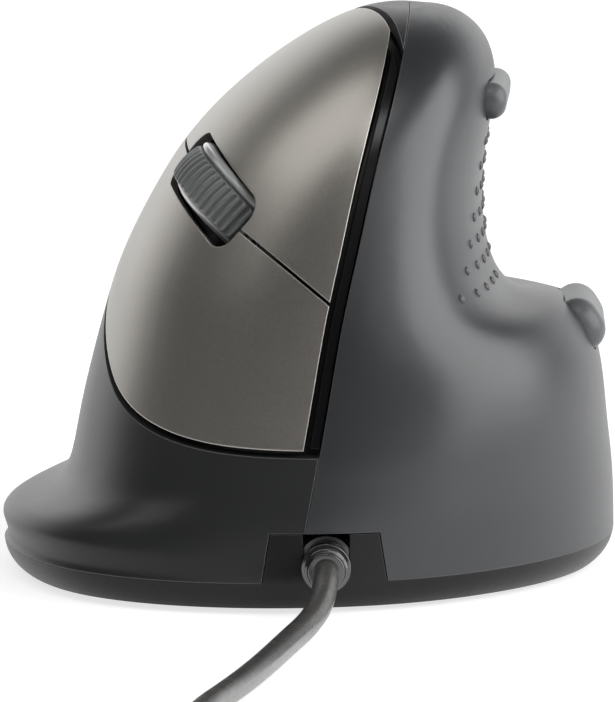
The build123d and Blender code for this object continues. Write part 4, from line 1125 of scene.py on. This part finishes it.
@dataclass
class Tie:
    """The strap round the coil, with its end lapped over."""

    low: Vector
    high: Vector
    thickness: float = 0.7 * MM
    corner: float = 1.6 * MM
    corner_steps: int = 6
    rim_share: float = 0.93
    lap: float = 11.0 * MM
    lap_steps: int = 12
    lap_width: float = 0.96
    lap_lift: float = 0.05 * MM
    lap_point: float = 0.8

    def band(self) -> list[list[Vector]]:
        """Loops of the band round the coil, with thinned rims.

        Returns:
            The loops, in order round the band.
        """
        middle, half = middle_and_half(self.low, self.high)
        inner_y = half.y - self.thickness / 2 - self.corner
        inner_z = half.z - self.thickness / 2 - self.corner
        path: list[tuple[float, float]] = []
        for quarter, (sign_y, sign_z) in enumerate(((1, 1), (-1, 1), (-1, -1), (1, -1))):
            for step in range(self.corner_steps + 1):
                angle = math.pi / 2 * (quarter + step / self.corner_steps)
                path.append((sign_y * inner_y + self.corner * math.cos(angle),
                             sign_z * inner_z + self.corner * math.sin(angle)))
        side = Vector((half.x, 0, 0))
        rim = side * self.rim_share
        loops = []
        for index, (y, z) in enumerate(path):
            after = path[(index + 1) % len(path)]
            before = path[index - 1]
            way = Vector((0, after[0] - before[0], after[1] - before[1])).normalized()
            out = Vector((0, way.z, -way.y)) * self.thickness / 2
            centre = middle + Vector((0, y, z))
            loops.append([centre - side, centre - rim + out, centre + rim + out, centre + side,
                          centre + rim - out, centre - rim - out])
        return loops

    def tab(self) -> list[list[Vector]]:
        """Loops of the lapped end on top, which narrows to a round point.

        Returns:
            The loops, in order along the end.
        """
        middle, half = middle_and_half(self.low, self.high)
        start = middle.y - self.lap / 2
        lift = Vector((0, 0, self.thickness * 0.5))
        loops = []
        for step in range(self.lap_steps + 1):
            share = step / self.lap_steps
            past = max(share - self.lap_point, 0) / (1 - self.lap_point)
            narrowing = math.sqrt(max(1 - past ** 2, 0.02))
            width = Vector((half.x * self.lap_width * narrowing, 0, 0))
            rim = width * 0.95
            centre = Vector((middle.x, start + self.lap * share, self.high.z + self.lap_lift))
            loops.append([centre - width, centre - rim + lift, centre + rim + lift, centre + width])
        return loops

    def build(self) -> bpy.types.Object:
        """Builds the strap.

        Returns:
            The strap.
        """
        shape = Shape().skin(self.band(), joined=True).skin(self.tab())
        tie = shape.piece("coil_strap", TIE_FABRIC.build(), 40)
        return place_piece(tie, Body.HOUSING, Slot.TIE, "cable_tie")


@dataclass(frozen=True)
class Lamp:
    """A square soft light, placed by its direction from the mouse."""

    name: str
    azimuth: float
    elevation: float
    radiance: float
    size: float
    distance: float = 1.3

    def build(self, target: Vector) -> None:
        """Adds the light, facing the target."""
        turn, lift = math.radians(self.azimuth), math.radians(self.elevation)
        way = Vector((math.sin(turn) * math.cos(lift), math.cos(turn) * math.cos(lift), math.sin(lift)))
        data = bpy.data.lights.new(self.name, "AREA")
        data.shape = "SQUARE"
        data.size = self.size
        data.energy = self.radiance * math.pi * self.size ** 2
        lamp = link(self.name, data)
        lamp.location = target + way * self.distance
        lamp.rotation_euler = (-way).to_track_quat("-Z", "Y").to_euler()


@dataclass
class Studio:
    """The floor, the background, the lamps and the camera."""

    aim: Vector = field(default_factory=lambda: Vector((0.0, -10.0 * MM, 29.8 * MM)))
    distance: float = 4.0
    elevation: float = 8.5
    pixels_per_metre: float = 7100.0
    sensor: float = 36.0
    clip: tuple[float, float] = (0.1, 30.0)
    floor_reach: float = 6.0
    floor_drop: float = 0.03 * MM
    floor_tones: tuple[float, float] = (0.84, 0.88)
    floor_fibre: float = 0.4 * MM
    floor_glow: float = 1.45
    floor_glow_share: float = 0.5
    floor_gloss_share: float = 0.4
    fill: float = 0.30
    gloss_dark: float = 0.04
    gloss_light: float = 1.3
    gloss_behind: tuple[float, float] = (0.42, 0.88)
    gloss_height: tuple[float, float] = (0.32, 0.60)
    lamps: tuple[Lamp, ...] = (
        Lamp("softbox_left", -90, 60, 1.45, 0.95),
        Lamp("softbox_right", 97, 24, 3.5, 1.4),
        Lamp("softbox_front", 144, 38, 1.25, 0.85),
        Lamp("softbox_top", 180, 72, 4.0, 0.36),
    )

    def world(self) -> None:
        """Makes the background: white where it is seen, softer where it lights, dark in front for gloss."""
        world = bpy.data.worlds.new("studio")
        bpy.context.scene.world = world
        graph = Graph(world)
        parts = graph.add("ShaderNodeSeparateXYZ", {}, {"Vector": graph.place(Space.GENERATED)})
        behind = Expression(graph, parts.outputs["Y"]).ramp(*self.gloss_behind)
        low = 1.0 - Expression(graph, parts.outputs["Z"]).ramp(*self.gloss_height)
        seen_in_gloss = self.gloss_dark + behind * low * (self.gloss_light - self.gloss_dark)
        direct, gloss = graph.rays()
        plain = self.fill * (1.0 - gloss) + seen_in_gloss * gloss
        strength = plain * (1.0 - direct) + direct
        sockets = {"Color": rgba(WHITE), "Strength": strength}
        graph.end("ShaderNodeOutputWorld", graph.add("ShaderNodeBackground", {}, sockets))

    def floor(self) -> None:
        """Lays the pale floor, which keeps the object's shadow."""
        material = bpy.data.materials.new("floor_paper")
        graph = Graph(material)
        fibres = graph.noise(graph.place(Space.OBJECT), self.floor_fibre)
        dark, light = self.floor_tones
        colour = graph.mix(fibres, (dark, dark, dark), (light, light, light))
        paper = graph.add("ShaderNodeBsdfDiffuse", {}, {"Color": colour})
        glow_sockets = {"Color": rgba(WHITE), "Strength": self.floor_glow}
        glow = graph.add("ShaderNodeEmission", {}, glow_sockets)
        direct, gloss = graph.rays()
        share = (direct * self.floor_glow_share).most(gloss * self.floor_gloss_share)
        blend = graph.add("ShaderNodeMixShader", {}, {0: share})
        graph.links.new(paper.outputs[0], blend.inputs[1])
        graph.links.new(glow.outputs[0], blend.inputs[2])
        graph.end("ShaderNodeOutputMaterial", blend)
        reach = self.floor_reach
        corners = [(-reach, -reach, 0), (reach, -reach, 0), (reach, reach, 0), (-reach, reach, 0)]
        mesh = bpy.data.meshes.new("floor")
        mesh.from_pydata(corners, [], [(0, 1, 2, 3)])
        mesh.materials.append(material)
        floor = link("floor", mesh)
        floor.location = (0, 0, -self.floor_drop)

    def camera(self) -> None:
        """Sets the camera at the photograph's viewing angle."""
        lift = math.radians(self.elevation)
        back = Vector((0, -math.cos(lift), math.sin(lift)))
        data = bpy.data.cameras.new("camera")
        data.sensor_width = self.sensor
        data.lens = self.pixels_per_metre * self.distance * self.sensor / max(FRAME_WIDTH, FRAME_HEIGHT)
        data.clip_start, data.clip_end = self.clip
        camera = link("camera", data)
        camera.location = self.aim + back * self.distance
        camera.rotation_euler = (-back).to_track_quat("-Z", "Y").to_euler()
        bpy.context.scene.camera = camera

    def build(self) -> None:
        """Builds the whole stage."""
        bpy.context.scene.view_settings.view_transform = "Standard"
        self.camera()
        self.world()
        self.floor()
        for lamp in self.lamps:
            lamp.build(self.aim)


def dress(frame: dict[str, object]) -> None:
    """Gives every solid that stays its finish.
    """
    for finish, names in NODE_FINISHES.items():
        for name in names:
            mesh = frame["nodes"][name].data
            mesh.materials.clear()
            mesh.materials.append(finish.build())
        log.info("%s dresses %s", finish.name, ", ".join(names))


def wheel_place(frame: dict[str, object]) -> tuple[Vector, Vector]:
    """The wheel's centre and the way of its axle, from its joint in the loaded frame."""
    joint = next(joint for joint in frame["joints"] if joint["name"] == "wheel_spin")
    return Vector(joint["pos_m"]), Vector(joint["axis"]).normalized()


def main() -> None:
    """Builds the looks of the mouse round its solids."""
    logging.basicConfig(level=logging.INFO, format="%(message)s")
    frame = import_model()
    Studio().build()
    dress(frame)
    Wheel(*wheel_place(frame)).build()
    low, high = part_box("cable_boot")
    boot_origin = Vector(((low.x + high.x) / 2, high.y, (low.z + high.z) / 2))
    boot = StrainRelief(boot_origin, high.y - low.y).build()
    plug_pieces = Plug(*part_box("plug_body"), *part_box("plug_shell")).build()
    tie = Tie(*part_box("cable_tie")).build()
    tongue, contacts = frame["nodes"]["plug_tongue"], frame["nodes"]["plug_contacts"]
    Cable().build(boot, [tie, *plug_pieces, tongue, contacts])


if __name__ == "__main__":
    main()
